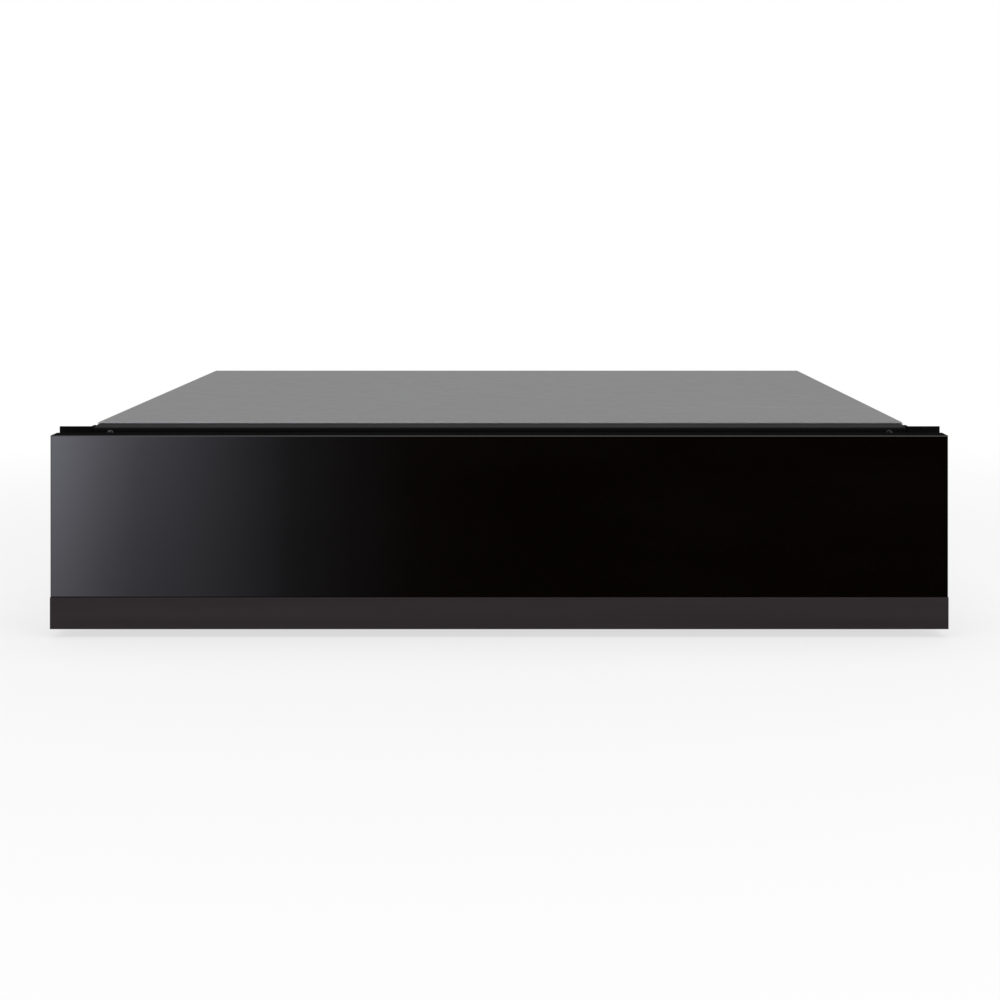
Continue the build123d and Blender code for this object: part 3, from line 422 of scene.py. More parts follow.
def brushedStainless(name, look, grain):
    finish = Finish(name)
    brush = finish.noise(scale=900.0, detail=4.0, stretch=grain, rough=0.6)
    coarse = finish.noise(scale=240.0, detail=3.0, stretch=grain)
    touch = finish.spread(finish.noise(scale=11.0, detail=4.0), low=0.52, high=0.74)
    line = look["fineShare"] * brush + (1 - look["fineShare"]) * coarse
    tone = finish.blendColour(line, look["dark"], look["light"])
    tone = finish.blendColour(touch * look["touchAmount"], tone, look["touched"])
    finish.bump(brush, strength=0.10, distance=0.0002)
    roughness = look["roughness"] + look["brushRoughness"] * brush + look["touchRoughness"] * touch
    return finish.wear({"Base Color": tone, "Metallic": 1.0, "Roughness": roughness})


# zinc plating of the runners, the striker and the fan shaft: drawn marks, yellowish in places
runnerLook = {
    "blue": colour(0.50, 0.52, 0.54),
    "yellow": colour(0.62, 0.61, 0.57),
    "drawn": colour(0.40, 0.41, 0.42),
    "drawnAmount": 0.4,
    "roughness": 0.24,
    "tintRoughness": 0.16,
}


def zincRunner(look):
    finish = Finish("zincRunner")
    drawn = finish.noise(scale=500.0, detail=4.0, stretch=(1.0, 0.02, 1.0))
    tint = finish.noise(scale=14.0, detail=3.0)
    tone = finish.blendColour(tint, look["blue"], look["yellow"])
    tone = finish.blendColour(drawn * look["drawnAmount"], tone, look["drawn"])
    finish.bump(drawn, strength=0.08, distance=0.0002)
    roughness = look["roughness"] + look["tintRoughness"] * tint
    return finish.wear({"Base Color": tone, "Metallic": 1.0, "Roughness": roughness})


# ball cages: bright steel with grease
bearingLook = {
    "steel": colour(0.66, 0.66, 0.67),
    "grease": colour(0.40, 0.36, 0.28),
    "greaseDulls": 0.4,
    "roughness": 0.10,
    "greaseRoughness": 0.22,
}


def bearingSteel(look):
    finish = Finish("bearingSteel")
    grease = finish.spread(finish.noise(scale=120.0, detail=3.0), low=0.45, high=0.70)
    tone = finish.blendColour(grease, look["steel"], look["grease"])
    metallic = 1.0 - look["greaseDulls"] * grease
    roughness = look["roughness"] + look["greaseRoughness"] * grease
    return finish.wear({"Base Color": tone, "Metallic": metallic, "Roughness": roughness})


# heating element: a crusted sheath with heat tints along it
sheathLook = {
    "brown": colour(0.20, 0.16, 0.13),
    "blue": colour(0.16, 0.17, 0.22),
    "crust": colour(0.09, 0.085, 0.08),
    "crustAmount": 0.5,
    "metallic": 0.8,
    "roughness": 0.40,
    "crustRoughness": 0.2,
}


def heaterSheath(look):
    finish = Finish("heaterSheath")
    tint = finish.noise(scale=16.0, detail=2.0, stretch=(1.0, 0.2, 0.2))
    band = finish.spread(tint, low=0.30, high=0.70)
    crust = finish.noise(scale=420.0, detail=4.0)
    tone = finish.blendColour(band, look["brown"], look["blue"])
    tone = finish.blendColour(crust * look["crustAmount"], tone, look["crust"])
    finish.bump(crust, strength=0.15, distance=0.0002)
    roughness = look["roughness"] + look["crustRoughness"] * crust
    return finish.wear({"Base Color": tone, "Metallic": look["metallic"], "Roughness": roughness})


# fan motor's dark paint
motorLook = {
    "dark": colour(0.055, 0.056, 0.060),
    "light": colour(0.095, 0.095, 0.098),
    "peel": 0.2,
    "roughness": 0.38,
    "filmRoughness": 0.2,
}


def motorPaint(look):
    finish = Finish("motorPaint")
    film = finish.noise(scale=30.0, detail=3.0)
    tone = finish.blendColour(film, look["dark"], look["light"])
    finish.bump(finish.noise(scale=800.0, detail=3.0), look["peel"], distance=0.0003)
    return finish.wear({"Base Color": tone, "Roughness": look["roughness"] + look["filmRoughness"] * film})


# moulded plastics: spark texture, with flow marks in the tone
plasticMould = {
    "texture": 0.25,
    "flowRoughness": 0.12,
    "textureRoughness": 0.05,
    "ior": 1.48,
}
blackPlasticLook = {
    "dark": colour(0.010, 0.010, 0.0105),
    "light": colour(0.018, 0.018, 0.019),
    "roughness": 0.42,
}
palePlasticLook = {
    "dark": colour(0.60, 0.575, 0.50),
    "light": colour(0.70, 0.68, 0.61),
    "roughness": 0.45,
}


def mouldedPlastic(name, look, mould):
    finish = Finish(name)
    texture = finish.cells(scale=1500.0)
    flow = finish.noise(scale=22.0, detail=4.0)
    tone = finish.blendColour(flow, look["dark"], look["light"])
    finish.bump(texture, mould["texture"], distance=0.00025)
    roughness = look["roughness"] + mould["flowRoughness"] * flow + mould["textureRoughness"] * texture
    return finish.wear({"Base Color": tone, "Roughness": roughness, "IOR": mould["ior"]})


# plain surfaces: one fine noise gives the tone, the roughness and any bump
screwLook = {
    "scale": 700.0,
    "detail": 3.0,
    "first": grey(0.42),
    "second": colour(0.62, 0.62, 0.61),
    "roughness": 0.26,
    "moreRoughness": 0.18,
    "bump": 0.12,
    "bumpDepth": 0.0001,
    "metallic": 1.0,
}
brassLook = {
    "scale": 500.0,
    "detail": 4.0,
    "first": colour(0.72, 0.53, 0.24),
    "second": colour(0.46, 0.33, 0.16),  # tarnished
    "roughness": 0.24,
    "moreRoughness": 0.25,
    "metallic": 1.0,
}
bumperLook = {
    "scale": 160.0,
    "detail": 4.0,
    "first": grey(0.010),
    "second": colour(0.024, 0.024, 0.025),
    "roughness": 0.68,
    "moreRoughness": 0.15,
    "bump": 0.2,
    "bumpDepth": 0.0002,
}
gasketLook = {
    "scale": 240.0,
    "detail": 4.0,
    "first": grey(0.004),
    "second": colour(0.009, 0.009, 0.0095),
    "roughness": 0.80,
    "moreRoughness": 0.12,
    "bump": 0.15,
    "bumpDepth": 0.0001,
    "shine": 0.0,
}
cableLook = {
    "scale": 220.0,
    "detail": 4.0,
    "stretch": (1.0, 0.2, 1.0),
    "first": grey(0.014),
    "second": colour(0.030, 0.030, 0.031),
    "roughness": 0.50,
    "moreRoughness": 0.2,
    "bump": 0.15,
    "bumpDepth": 0.0002,
}
inkLook = {
    "scale": 1800.0,
    "detail": 3.0,
    "first": colour(0.62, 0.62, 0.60),
    "second": colour(0.76, 0.76, 0.74),
    "roughness": 0.45,
    "moreRoughness": 0.15,
}


def plainSurface(name, look):
    finish = Finish(name)
    mark = finish.noise(look["scale"], look["detail"], look.get("stretch", (1, 1, 1)))
    sockets = {
        "Base Color": finish.blendColour(mark, look["first"], look["second"]),
        "Roughness": look["roughness"] + look["moreRoughness"] * mark,
    }
    if "bump" in look:
        finish.bump(mark, look["bump"], look["bumpDepth"])
    if "metallic" in look:
        sockets["Metallic"] = look["metallic"]
    if "shine" in look:
        sockets["Specular IOR Level"] = look["shine"]
    return finish.wear(sockets)


# silicone of the mat, with lint on it
matLook = {
    "dark": colour(0.020, 0.020, 0.022),
    "light": colour(0.036, 0.036, 0.038),
    "lint": grey(0.16),
    "lintAmount": 0.3,
    "roughness": 0.52,
    "bloomRoughness": 0.18,
    "ior": 1.42,
}


def matSilicone(look):
    finish = Finish("matSilicone")
    lint = finish.spread(finish.noise(scale=1700.0, detail=2.0), low=0.66, high=0.78)
    bloom = finish.noise(scale=30.0, detail=4.0)
    tone = finish.blendColour(bloom, look["dark"], look["light"])
    tone = finish.blendColour(lint * look["lintAmount"], tone, look["lint"])
    finish.bump(finish.noise(scale=900.0, detail=2.0), strength=0.12, distance=0.0002)
    roughness = look["roughness"] + look["bloomRoughness"] * bloom
    return finish.wear({"Base Color": tone, "Roughness": roughness, "IOR": look["ior"]})


# mineral fibre board in the front
boardLook = {
    "dark": colour(0.42, 0.38, 0.26),
    "light": colour(0.62, 0.58, 0.44),
    "fibreShare": 0.5,
    "fuzz": 0.5,
    "roughness": 0.92,
}


def insulationBoard(look):
    finish = Finish("insulationBoard")
    fibre = finish.noise(scale=300.0, detail=6.0, stretch=(0.2, 1.0, 1.0))
    clump = finish.noise(scale=60.0, detail=4.0)
    shade = look["fibreShare"] * fibre + (1 - look["fibreShare"]) * clump
    tone = finish.blendColour(shade, look["dark"], look["light"])
    finish.bump(fibre, look["fuzz"], distance=0.001)
    return finish.wear({"Base Color": tone, "Roughness": look["roughness"]})


# amber pilot lens, finely pebbled
lensLook = {
    "deep": colour(0.62, 0.17, 0.015),
    "pale": colour(0.80, 0.30, 0.04),
    "roughness": 0.10,
    "pebbleRoughness": 0.1,
    "clearness": 0.35,
    "ior": 1.49,
}


def amberLens(look):
    finish = Finish("amberLens")
    pebble = finish.cells(scale=700.0)
    tone = finish.blendColour(pebble, look["deep"], look["pale"])
    finish.bump(pebble, strength=0.3, distance=0.0003)
    return finish.wear(
        {
            "Base Color": tone,
            "Roughness": look["roughness"] + look["pebbleRoughness"] * pebble,
            "Transmission Weight": look["clearness"],
            "IOR": look["ior"],
        }
    )


# braided glass fibre sleeve of the wires
sleeveLook = {
    "dark": colour(0.50, 0.47, 0.40),
    "light": colour(0.62, 0.60, 0.54),
    "gap": colour(0.30, 0.28, 0.24),
    "gapAmount": 0.5,
    "roughness": 0.78,
    "soilRoughness": 0.12,
}


def wireSleeve(look):
    finish = Finish("wireSleeve")
    braid = finish.cells(scale=1300.0)
    soil = finish.noise(scale=40.0, detail=4.0)
    tone = finish.blendColour(soil, look["dark"], look["light"])
    tone = finish.blendColour(braid * look["gapAmount"], tone, look["gap"])
    finish.bump(braid, strength=0.4, distance=0.0003)
    return finish.wear({"Base Color": tone, "Roughness": look["roughness"] + look["soilRoughness"] * soil})


# the finish of each slot, and of the sheets whose marks or mottle differ
acrossGrain = (0.03, 1.0, 1.0)  # rolling and brushing marks along X
alongGrain = (1.0, 0.03, 1.0)  # and along Y
sheetMottle = galvanisedLook["mottle"]
finishes = {
    "black_glass": blackGlass(glassLook),
    "dark_trim": stripLacquer(stripLook),
    "black_steel": powderBlack(powderLook),
    "galvanised": galvanisedSheet("galvanisedAcross", galvanisedLook, acrossGrain, sheetMottle),
    "stainless": brushedStainless("stainlessAcross", stainlessLook, acrossGrain),
    "zinc": zincRunner(runnerLook),
    "bearing_steel": bearingSteel(bearingLook),
    "screw_steel": plainSurface("screwZinc", screwLook),
    "black_screw": blackenedScrew(blackScrewLook),
    "black_plastic": mouldedPlastic("blackPlastic", blackPlasticLook, plasticMould),
    "pale_plastic": mouldedPlastic("palePlastic", palePlasticLook, plasticMould),
    "black_rubber": plainSurface("bumperRubber", bumperLook),
    "silicone": matSilicone(matLook),
    "insulation": insulationBoard(boardLook),
    "heater_sheath": heaterSheath(sheathLook),
    "motor_steel": motorPaint(motorLook),
    "brass": plainSurface("terminalBrass", brassLook),
    "lens": amberLens(lensLook),
    "cable_sheath": plainSurface("cableSheath", cableLook),
    "wire_sleeve": wireSleeve(sleeveLook),
}
topGalvanised = galvanisedSheet("galvanisedTop", galvanisedLook, acrossGrain, galvanisedLook["topMottle"])
sideGalvanised = galvanisedSheet("galvanisedAlong", galvanisedLook, alongGrain, sheetMottle)
sideStainless = brushedStainless("stainlessAlong", stainlessLook, alongGrain)
turned = {
    "top_cover": topGalvanised,
    "side_panel_left": sideGalvanised,
    "side_panel_right": sideGalvanised,
    "drawer_side_left": sideStainless,
    "drawer_side_right": sideStainless,
    "drawer_floor": sideStainless,
}
slotOf = {part["node"]: part["material_slot"] for part in frame["record"]["subparts"]}
for name, obj in nodes.items():
    obj.data.materials.clear()
    obj.data.materials.append(turned.get(name, finishes[slotOf[name]]))
print("finishes:", len(finishes), "on", len(nodes), "nodes")


# a Former builds one geometry node tree with named inputs
class Former(Bench):
    def __init__(self, name, inputs):
        group = bpy.data.node_groups.new(name, "GeometryNodeTree")
        super().__init__(group)
        kinds = {"Count": "NodeSocketInt", "Finish": "NodeSocketMaterial"}
        for word in inputs:
            kind = next((k for end, k in kinds.items() if word.endswith(end)), "NodeSocketFloat")
            group.interface.new_socket(word, in_out="INPUT", socket_type=kind)
        group.interface.new_socket("Geometry", in_out="OUTPUT", socket_type="NodeSocketGeometry")
        self.start = group.nodes.new("NodeGroupInput")
        self.end = group.nodes.new("NodeGroupOutput")

    def given(self, word):
        return Wire(self, self.start.outputs[word])

    def close(self, shape):
        whole = self.node("GeometryNodeRealizeInstances", {}, {0: shape})
        sockets = {"Geometry": whole, "Material": self.given("Finish")}
        self.feed(self.end.inputs[0], self.node("GeometryNodeSetMaterial", {}, sockets))

    def point(self, x, y, z):
        return self.node("ShaderNodeCombineXYZ", {}, {0: x, 1: y, 2: z})

    def moved(self, shape, x, y, z):
        sockets = {"Geometry": shape, "Translation": self.point(x, y, z)}
        return self.node("GeometryNodeTransform", {}, sockets)

    def joined(self, shapes):
        return self.node("GeometryNodeJoinGeometry", {}, {0: shapes})


def runTree(name, former, values):
    holder = linkObject(name + "Holder", bpy.data.meshes.new(name + "Holder"))
    modifier = holder.modifiers.new("form", "NODES")
    modifier.node_group = former.tree
    for item in former.tree.interface.items_tree:
        if item.in_out == "INPUT":
            modifier[item.identifier] = values[item.name]
    return linkObject(name, plainMesh(holder, name))


print("geometry tools ready")


# supply cable: a lead from the terminal block, then a loop on the base pan that rises into the drawer
cableRun = {
    "radius": 0.003,
    "sides": 5,
    "smoothness": 14,
    "leadPoints": [
        (0.130, 0.238, 0.0043),
        (0.130, 0.150, 0.0043),
        (0.130, 0.070, 0.0043),
    ],
    "leadStill": (0.130, 0.220, 0.0043),  # the clamped end, in the block
    "leadMoved": (0.130, 0.080, 0.0043),  # a point further along the lead
    "loopPoints": [
        (0.130, 0.070, 0.0043),
        (0.130, 0.060, 0.0043),
        (0.130, -0.030, 0.0043),
        (0.070, -0.030, 0.0043),
        (0.070, 0.060, 0.0043),
        (0.070, 0.160, 0.0043),
        (0.070, 0.215, 0.0043),
        (0.070, 0.215, 0.0300),
        (0.070, 0.215, 0.0380),
    ],
    "loopStill": (0.070, -0.030, 0.0043),  # the loop's foot
    "loopMoved": (-0.0093, 0.0136, 0.0618),  # slanted, just below the drawer floor
}


def layCable(name, run, stretch):
    points = run[stretch + "Points"]
    curve = bpy.data.curves.new(name + "Run", "CURVE")
    curve.dimensions = "3D"
    curve.bevel_depth = run["radius"]
    curve.bevel_resolution = run["sides"]
    curve.use_fill_caps = True
    curve.resolution_u = run["smoothness"]
    spline = curve.splines.new("NURBS")
    spline.points.add(len(points) - 1)
    for point, place in zip(spline.points, points):
        point.co = (*place, 1.0)
    spline.order_u = 3
    spline.use_endpoint_u = True
    mesh = plainMesh(linkObject(name + "Run", curve), name)
    mesh.materials.clear()
    mesh.materials.append(finishes["cable_sheath"])
    for face in mesh.polygons:
        face.use_smooth = True
    cable = linkObject(name, mesh)
    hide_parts("supply_cable")
    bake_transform(cable)


layCable("supplyCableLead", cableRun, "lead")
layCable("supplyCableRubber", cableRun, "loop")
print("supply cable laid")


# edge gasket: a thin black lip over the glass edge and the step down to its carrier, open at the foot
edgeGasket = {
    "proud": 0.00012,  # past the glass edge
    "clearance": 0.00002,
    "setBack": 0.0007,  # of the lip from the glass face
    "rearGap": 0.00015,
}


def fitGasket(values):
    glassLow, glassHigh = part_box("front_glass")
    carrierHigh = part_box("front_carrier")[1]
    proud, room = values["proud"], values["clearance"]
    step = carrierHigh.z - glassHigh.z + room
    lipFront = glassLow.y + values["setBack"]
    glassBack = glassHigh.y + room
    rear = carrierHigh.y - values["rearGap"]
    # section as (distance past the glass edge, depth), swept up one side, over the top and down the other
    section = [
        (proud, lipFront),
        (proud, rear),
        (step, rear),
        (step, glassBack),
        (room, glassBack),
        (room, lipFront),
    ]
    stations = [
        (glassLow.x, glassLow.z, -1, 0),
        (glassLow.x, glassHigh.z, -1, 1),
        (glassHigh.x, glassHigh.z, 1, 1),
        (glassHigh.x, glassLow.z, 1, 0),
    ]
    corners = []
    for x, z, alongX, alongZ in stations:
        corners += [(x + out * alongX, y, z + out * alongZ) for out, y in section]
    count = len(section)
    last = count * (len(stations) - 1)
    faces = [tuple(range(count)), tuple(last + i for i in range(count))]
    for start in range(0, last, count):
        for i in range(count):
            j = (i + 1) % count
            faces.append((start + i, start + j, start + count + j, start + count + i))
    mesh = bpy.data.meshes.new("edgeGasket")
    mesh.from_pydata(corners, [], faces)
    mesh.materials.append(plainSurface("gasketRubber", gasketLook))
    shape = bmesh.new()
    shape.from_mesh(mesh)
    bmesh.ops.recalc_face_normals(shape, faces=shape.faces)
    shape.to_mesh(mesh)
    shape.free()
    gasket = linkObject("edgeGasket", mesh)
    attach(gasket, "drawer")


fitGasket(edgeGasket)
print("gasket fitted")


# anti-slip mat: a thin sheet with a bead round its edge and rows of nubs
matForm = {
    "sheet": 0.0017,
    "corner": 0.012,
    "cornerSteps": 7,
    "bead": 0.0009,
    "beadInset": 0.0022,
    "beadSides": 10,
    "nubPitch": 0.0115,
    "nubRadius": 0.0026,
    "nubTop": 0.0017,
    "nubSides": 10,
    "margin": 0.011,
    "weld": 0.00002,
}
matInputs = [
    "Width", "Length", "Sheet", "Corner", "Bead", "Bead Inset", "Margin",
    "Nub Radius", "Nub Top", "Nub Height", "Across Count", "Along Count", "Finish",
]


def nubbedMatTree(sizes):
    tree = Former("nubbedMat", matInputs)
    width, length, sheet, margin = (tree.given(word) for word in ("Width", "Length", "Sheet", "Margin"))

    def rim(inset):
        sides = {"Width": width - 2 * inset, "Height": length - 2 * inset}
        outline = tree.node("GeometryNodeCurvePrimitiveQuadrilateral", {}, sides)
        radius = tree.given("Corner") - inset
        rounding = {"Curve": outline, "Count": sizes["cornerSteps"], "Radius": radius}
        return tree.node("GeometryNodeFilletCurve", {"mode": "POLY"}, rounding)

    under = tree.node("GeometryNodeFillCurve", {"mode": "NGONS"}, {"Curve": rim(0 * sheet)})
    raised = tree.node(
        "GeometryNodeExtrudeMesh",
        {},
        {"Mesh": under, "Offset": (0, 0, 1), "Offset Scale": sheet, "Individual": False},
    )
    body = tree.joined([raised, tree.node("GeometryNodeFlipFaces", {}, {0: under})])
    body = tree.node("GeometryNodeMergeByDistance", {}, {"Geometry": body, "Distance": sizes["weld"]})
    profile = tree.node(
        "GeometryNodeCurvePrimitiveCircle",
        {},
        {"Resolution": sizes["beadSides"], "Radius": tree.given("Bead")},
    )
    bead = tree.node(
        "GeometryNodeCurveToMesh",
        {},
        {"Curve": rim(tree.given("Bead Inset")), "Profile Curve": profile},
    )
    grid = tree.node(
        "GeometryNodeMeshGrid",
        {},
        {
            "Size X": width - 2 * margin,
            "Size Y": length - 2 * margin,
            "Vertices X": tree.given("Across Count"),
            "Vertices Y": tree.given("Along Count"),
        },
    )
    nub = tree.node(
        "GeometryNodeMeshCone",
        {},
        {
            "Vertices": sizes["nubSides"],
            "Radius Top": tree.given("Nub Top"),
            "Radius Bottom": tree.given("Nub Radius"),
            "Depth": tree.given("Nub Height"),
        },
    )
    raisedGrid = tree.moved(grid, 0.0, 0.0, sheet)
    nubs = tree.node("GeometryNodeInstanceOnPoints", {}, {"Points": raisedGrid, "Instance": nub})
    tree.close(tree.joined([body, tree.moved(bead, 0.0, 0.0, sheet), nubs]))
    return tree


def makeMat(sizes):
    low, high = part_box("base_mat")
    span = high - low
    mat = runTree(
        "nubbedMat",
        nubbedMatTree(sizes),
        {
            "Width": span.x,
            "Length": span.y,
            "Sheet": sizes["sheet"],
            "Corner": sizes["corner"],
            "Bead": sizes["bead"],
            "Bead Inset": sizes["beadInset"],
            "Margin": sizes["margin"],
            "Nub Radius": sizes["nubRadius"],
            "Nub Top": sizes["nubTop"],
            "Nub Height": span.z - sizes["sheet"],
            "Across Count": round((span.x - 2 * sizes["margin"]) / sizes["nubPitch"]) + 1,
            "Along Count": round((span.y - 2 * sizes["margin"]) / sizes["nubPitch"]) + 1,
            "Finish": finishes["silicone"],
        },
    )
    mat.data.transform(Matrix.Translation(boxMiddle(low, high, low.z)))
    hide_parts("base_mat")
    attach(mat, "drawer")


makeMat(matForm)
print("mat made")


# printed dial round the knob: ticks, plain numbers, and the pointer's white inlay
dialPrint = {
    "ink": 0.00012,
    "tickRadius": 0.0172,
    "minorLength": 0.0013,
    "majorLength": 0.0022,
    "tickWidth": 0.0005,
    "minorStep": 22.5,  # degrees
    "majorStep": 90.0,
    "sweep": 270.0,
    "numberRadius": 0.0213,
    "numberHeight": 0.0026,
    "figureShare": 0.7,  # of the type size
    "pointerLength": 0.0076,
    "pointerWidth": 0.0013,
    "pointerDeep": 0.0006,
    "pointerSteps": 8,  # round each end
    "grooveDeep": 0.0008,
}
zeroAngle = -math.pi / 2  # the dial starts at the front and runs clockwise
inkWhite = plainSurface("printWhite", inkLook)


def tickTree():
    tree = Former("dialTicks", ["Radius", "Length", "Width", "Ink", "Step", "Tick Count", "Finish"])
    length, ink = tree.given("Length"), tree.given("Ink")
    tick = tree.node("GeometryNodeMeshCube", {}, {"Size": tree.point(length, tree.given("Width"), ink)})
    tick = tree.moved(tick, tree.given("Radius") + length / 2, 0.0, ink / 2)
    points = tree.node("GeometryNodePoints", {}, {"Count": tree.given("Tick Count")})
    turn = tree.point(0.0, 0.0, zeroAngle - tree.node("GeometryNodeInputIndex") * tree.given("Step"))
    sockets = {"Points": points, "Instance": tick, "Rotation": turn}
    tree.close(tree.node("GeometryNodeInstanceOnPoints", {}, sockets))
    return tree


def printNumber(word, place, values):
    letters = bpy.data.curves.new("dialNumber" + word, "FONT")
    letters.body = word
    letters.size = values["numberHeight"] / values["figureShare"]
    letters.align_x = "CENTER"
    letters.align_y = "CENTER"
    letters.extrude = values["ink"] / 2
    mesh = plainMesh(linkObject("dialNumber" + word, letters), "dialNumber" + word)
    mesh.transform(Matrix.Translation(place))
    mesh.materials.clear()
    mesh.materials.append(inkWhite)
    number = linkObject("dialNumber" + word, mesh)
    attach(number, "drawer")


# the inlay lies in the knob's groove, which points to the front at rest
def layPointer(middle, knobRadius, knobTop, values):
    half = values["pointerWidth"] / 2
    reach = values["pointerLength"] / 2 - half
    steps = values["pointerSteps"]
    bends = [math.pi * i / steps for i in range(steps + 1)]
    outline = [(half * math.cos(bend), reach + half * math.sin(bend)) for bend in bends]
    outline += [(-x, -y) for x, y in outline]
    count = len(outline)
    floor = knobTop - values["grooveDeep"]
    corners = []
    for level in (floor, floor + values["pointerDeep"]):
        corners += [(middle.x + x, middle.y - knobRadius / 2 + y, level) for x, y in outline]
    faces = [tuple(reversed(range(count))), tuple(range(count, 2 * count))]
    faces += [(i, (i + 1) % count, count + (i + 1) % count, count + i) for i in range(count)]
    mesh = bpy.data.meshes.new("knobPointer")
    mesh.from_pydata(corners, [], faces)
    mesh.materials.append(inkWhite)
    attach(linkObject("knobPointer", mesh), "knob")


def printDial(values):
    low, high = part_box("thermostat_knob")
    middle = boxMiddle(low, high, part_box("control_fascia")[1].z)
    tree = tickTree()
    for kind in ("minor", "major"):
        step = values[kind + "Step"]
        ticks = runTree(
            "dial" + kind.capitalize() + "Ticks",
            tree,
            {
                "Radius": values["tickRadius"],
                "Length": values[kind + "Length"],
                "Width": values["tickWidth"],
                "Ink": values["ink"],
                "Step": math.radians(step),
                "Tick Count": round(values["sweep"] / step) + 1,
                "Finish": inkWhite,
            },
        )
        ticks.data.transform(Matrix.Translation(middle))
        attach(ticks, "drawer")
    for number in range(round(values["sweep"] / values["majorStep"]) + 1):
        turn = zeroAngle - math.radians(number * values["majorStep"])
        spoke = Vector((math.cos(turn), math.sin(turn), 0)) * values["numberRadius"]
        printNumber(str(number), middle + spoke + Vector((0, 0, values["ink"] / 2)), values)
    layPointer(middle, (high.x - low.x) / 2, high.z, values)


printDial(dialPrint)
print("dial printed")


# power mark on the button: an open ring and a bar
powerPrint = {
    "radius": 0.0032,
    "line": 0.0006,
    "ink": 0.00012,
    "gap": 70.0,  # degrees
    "ringSteps": 40,
    "barPlace": 0.75,  # of the radius
}


def powerMarkTree(sizes):
    tree = Former("powerMark", ["Radius", "Line", "Ink", "Start", "Sweep", "Finish"])
    radius, line, ink = (tree.given(word) for word in ("Radius", "Line", "Ink"))
    arc = tree.node(
        "GeometryNodeCurveArc",
        {},
        {
            "Resolution": sizes["ringSteps"],
            "Radius": radius,
            "Start Angle": tree.given("Start"),
            "Sweep Angle": tree.given("Sweep"),
        },
    )
    profile = tree.node("GeometryNodeCurvePrimitiveQuadrilateral", {}, {"Width": line, "Height": ink})
    ringSockets = {"Curve": arc, "Profile Curve": profile, "Fill Caps": True}
    ring = tree.node("GeometryNodeCurveToMesh", {}, ringSockets)
    bar = tree.node("GeometryNodeMeshCube", {}, {"Size": tree.point(line, radius, ink)})
    tree.close(tree.joined([ring, tree.moved(bar, 0.0, radius * sizes["barPlace"], 0.0)]))
    return tree


def printPowerMark(sizes):
    low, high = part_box("power_button")
    gap = math.radians(sizes["gap"])
    mark = runTree(
        "powerMark",
        powerMarkTree(sizes),
        {
            "Radius": sizes["radius"],
            "Line": sizes["line"],
            "Ink": sizes["ink"],
            "Start": math.pi / 2 + gap / 2,
            "Sweep": 2 * math.pi - gap,
            "Finish": inkWhite,
        },
    )
    mark.data.transform(Matrix.Translation(boxMiddle(low, high, high.z + sizes["ink"] / 2)))
    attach(mark, "button")


printPowerMark(powerPrint)
print("power mark printed")


# light: one large soft lamp above, a weak one in front, and the studio around
studio = {
    "fill": 0.50,
    "dark": 0.012,  # the room that the glass shows
    "edgeGlow": 4.0,  # the lit edge that the glass shows on its left
    "edgeTint": (0.97, 0.975, 1.13),
    "edgeSpan": 40.0,  # degrees left of straight ahead
    "edgeStops": [
        (0.0, 0.0),
        (0.05, 0.002),
        (0.086, 0.006),
        (0.13, 0.018),
        (0.176, 0.044),
        (0.205, 0.095),
        (0.236, 0.17),
        (0.288, 0.325),
        (0.315, 0.51),
        (0.343, 0.78),
        (0.37, 1.0),
        (0.65, 1.0),
        (1.0, 0.0),
    ],
    "edgeLift": 1.04,
    "edgeFade": 0.55,  # how much weaker the edge is low down
    "fadeRise": (-12.0, -4.0),  # degrees
    "fadeTurn": (4.0, 13.0),
    "backdropTurn": (40.0, 78.0),  # where the pale backdrop takes over to the sides
    "backdropRise": (14.0, 34.0),  # and above
    "target": (0.0, 0.0, 0.07),
    "topPower": 27.0,
    "topSize": 2.6,
    "topPlace": (0.0, -0.15, 2.4),
    "frontPower": 12.0,
    "frontSize": 1.6,
    "frontPlace": (2.0, -1.8, 0.9),
}
white = grey(1.0)


def softLamp(name, power, size, place, target):
    lamp = bpy.data.lights.new(name, "AREA")
    lamp.energy = power
    lamp.size = size
    obj = linkObject(name, lamp)
    obj.location = place
    obj.rotation_euler = (Vector(target) - Vector(place)).to_track_quat("-Z", "Y").to_euler()
    return obj


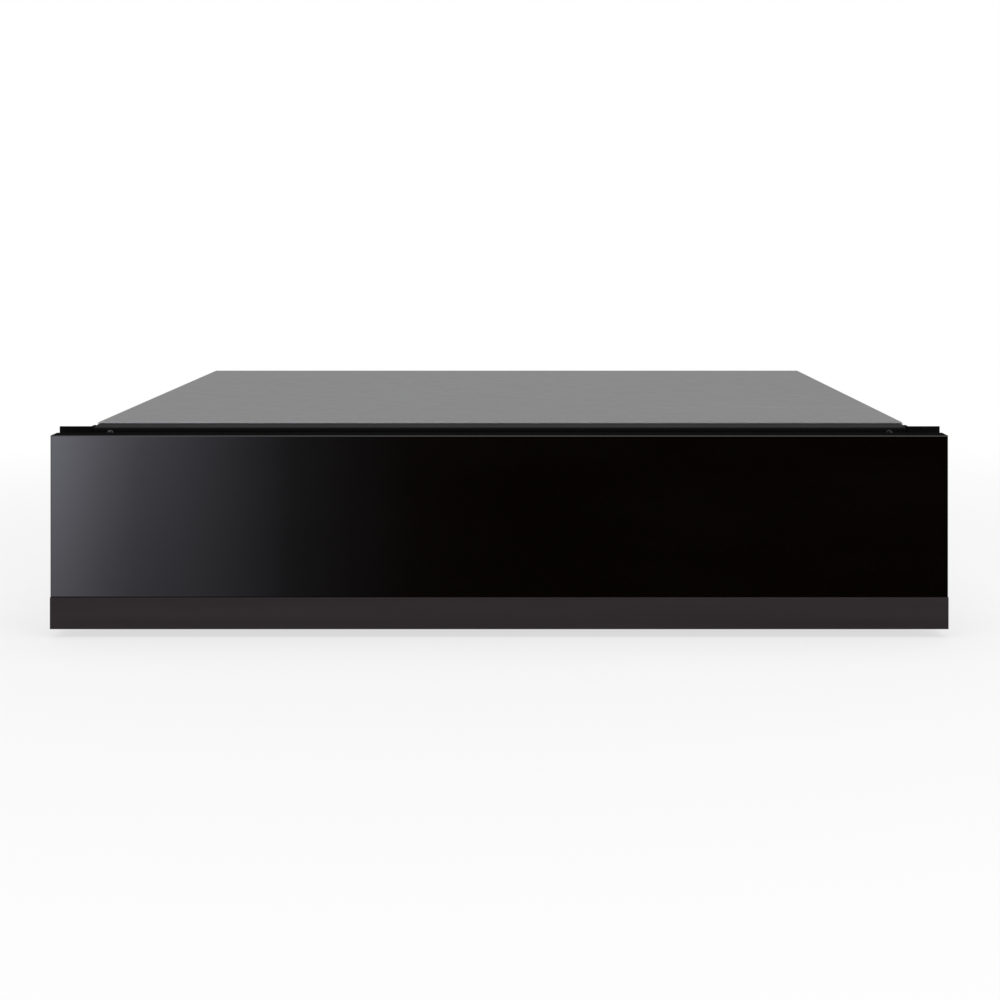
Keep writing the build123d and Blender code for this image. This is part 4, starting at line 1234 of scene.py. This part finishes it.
def setStudio(values):
    world = bpy.data.worlds.new("studio")
    scene.world = world
    world.use_nodes = True
    bench = Bench(world.node_tree)
    way = bench.node("ShaderNodeTexCoord", out="Generated")
    x, y, z = (bench.node("ShaderNodeSeparateXYZ", {}, {0: way}, out=axis) for axis in ("X", "Y", "Z"))
    turn = (0 - x).angleTo(0 - y) * (180 / math.pi)  # degrees left of straight out of the front
    rise = z * (180 / math.pi)
    # the lit edge, then the dark room, then the pale backdrop all round
    glow = bench.node("ShaderNodeValToRGB", {"stops": values["edgeStops"]}, {0: turn / values["edgeSpan"]})
    low = bench.spread(rise, *values["fadeRise"], values["edgeFade"], 0.0)
    lift = values["edgeLift"] - low * bench.spread(turn, *values["fadeTurn"])
    scaled = {0: glow, "Scale": lift * values["edgeGlow"]}
    glow = bench.node("ShaderNodeVectorMath", {"operation": "SCALE"}, scaled)
    glow = bench.vectorCalc("MULTIPLY", glow, values["edgeTint"])
    glow = bench.vectorCalc("ADD", glow, (values["dark"],) * 3)
    side = bench.node("ShaderNodeMath", {"operation": "ABSOLUTE"}, {0: turn})
    above = bench.spread(rise, *values["backdropRise"])
    room = bench.blendColour(bench.spread(side, *values["backdropTurn"]).atLeast(above), glow, white)
    words = ("Is Camera Ray", "Is Glossy Ray", "Is Transmission Ray")
    cameraRay, glossyRay, clearRay = (bench.node("ShaderNodeLightPath", out=word) for word in words)
    seen = bench.blendColour(glossyRay.atLeast(clearRay), grey(values["fill"]), room)
    seen = bench.blendColour(cameraRay, seen, white)
    background = bench.node("ShaderNodeBackground", {}, {"Color": seen, "Strength": 1.0})
    output = world.node_tree.nodes.new("ShaderNodeOutputWorld")
    bench.feed(output.inputs["Surface"], background)

    target = values["target"]
    softLamp("topLamp", values["topPower"], values["topSize"], values["topPlace"], target)
    front = softLamp("frontLamp", values["frontPower"], values["frontSize"], values["frontPlace"], target)
    front.visible_glossy = False


# floor: the camera sees it lit and shadowed near the object, and plain white further out
paleFloor = {"half": 6.0, "tone": 0.93, "near": 0.40, "far": 1.1, "nearWhite": 0.68}


def setFloor(values):
    half = values["half"]
    mesh = bpy.data.meshes.new("floor")
    corners = [(-half, -half, 0), (half, -half, 0), (half, half, 0), (-half, half, 0)]
    mesh.from_pydata(corners, [], [(0, 1, 2, 3)])
    floor = linkObject("floor", mesh)
    finish = Finish("paleFloor")
    finish.wear({"Base Color": grey(values["tone"]), "Roughness": 1.0, "Specular IOR Level": 0.0})
    cameraRay = finish.node("ShaderNodeLightPath", out="Is Camera Ray")
    reach = finish.node("ShaderNodeVectorMath", {"operation": "LENGTH"}, {0: finish.place}, out="Value")
    lit = Wire(finish, finish.shader.outputs[0])
    glow = finish.node("ShaderNodeEmission", {}, {"Color": white, "Strength": 1.0})
    pale = finish.spread(reach, values["near"], values["far"], values["nearWhite"], 1.0) * cameraRay
    whole = finish.node("ShaderNodeMixShader", {}, {0: pale, 1: lit, 2: glow})
    finish.feed(finish.output.inputs["Surface"], whole)
    mesh.materials.append(finish.material)
    floor.visible_glossy = False  # the glass mirrors the dark room in front, not the floor


setStudio(studio)
setFloor(paleFloor)
print("studio set")
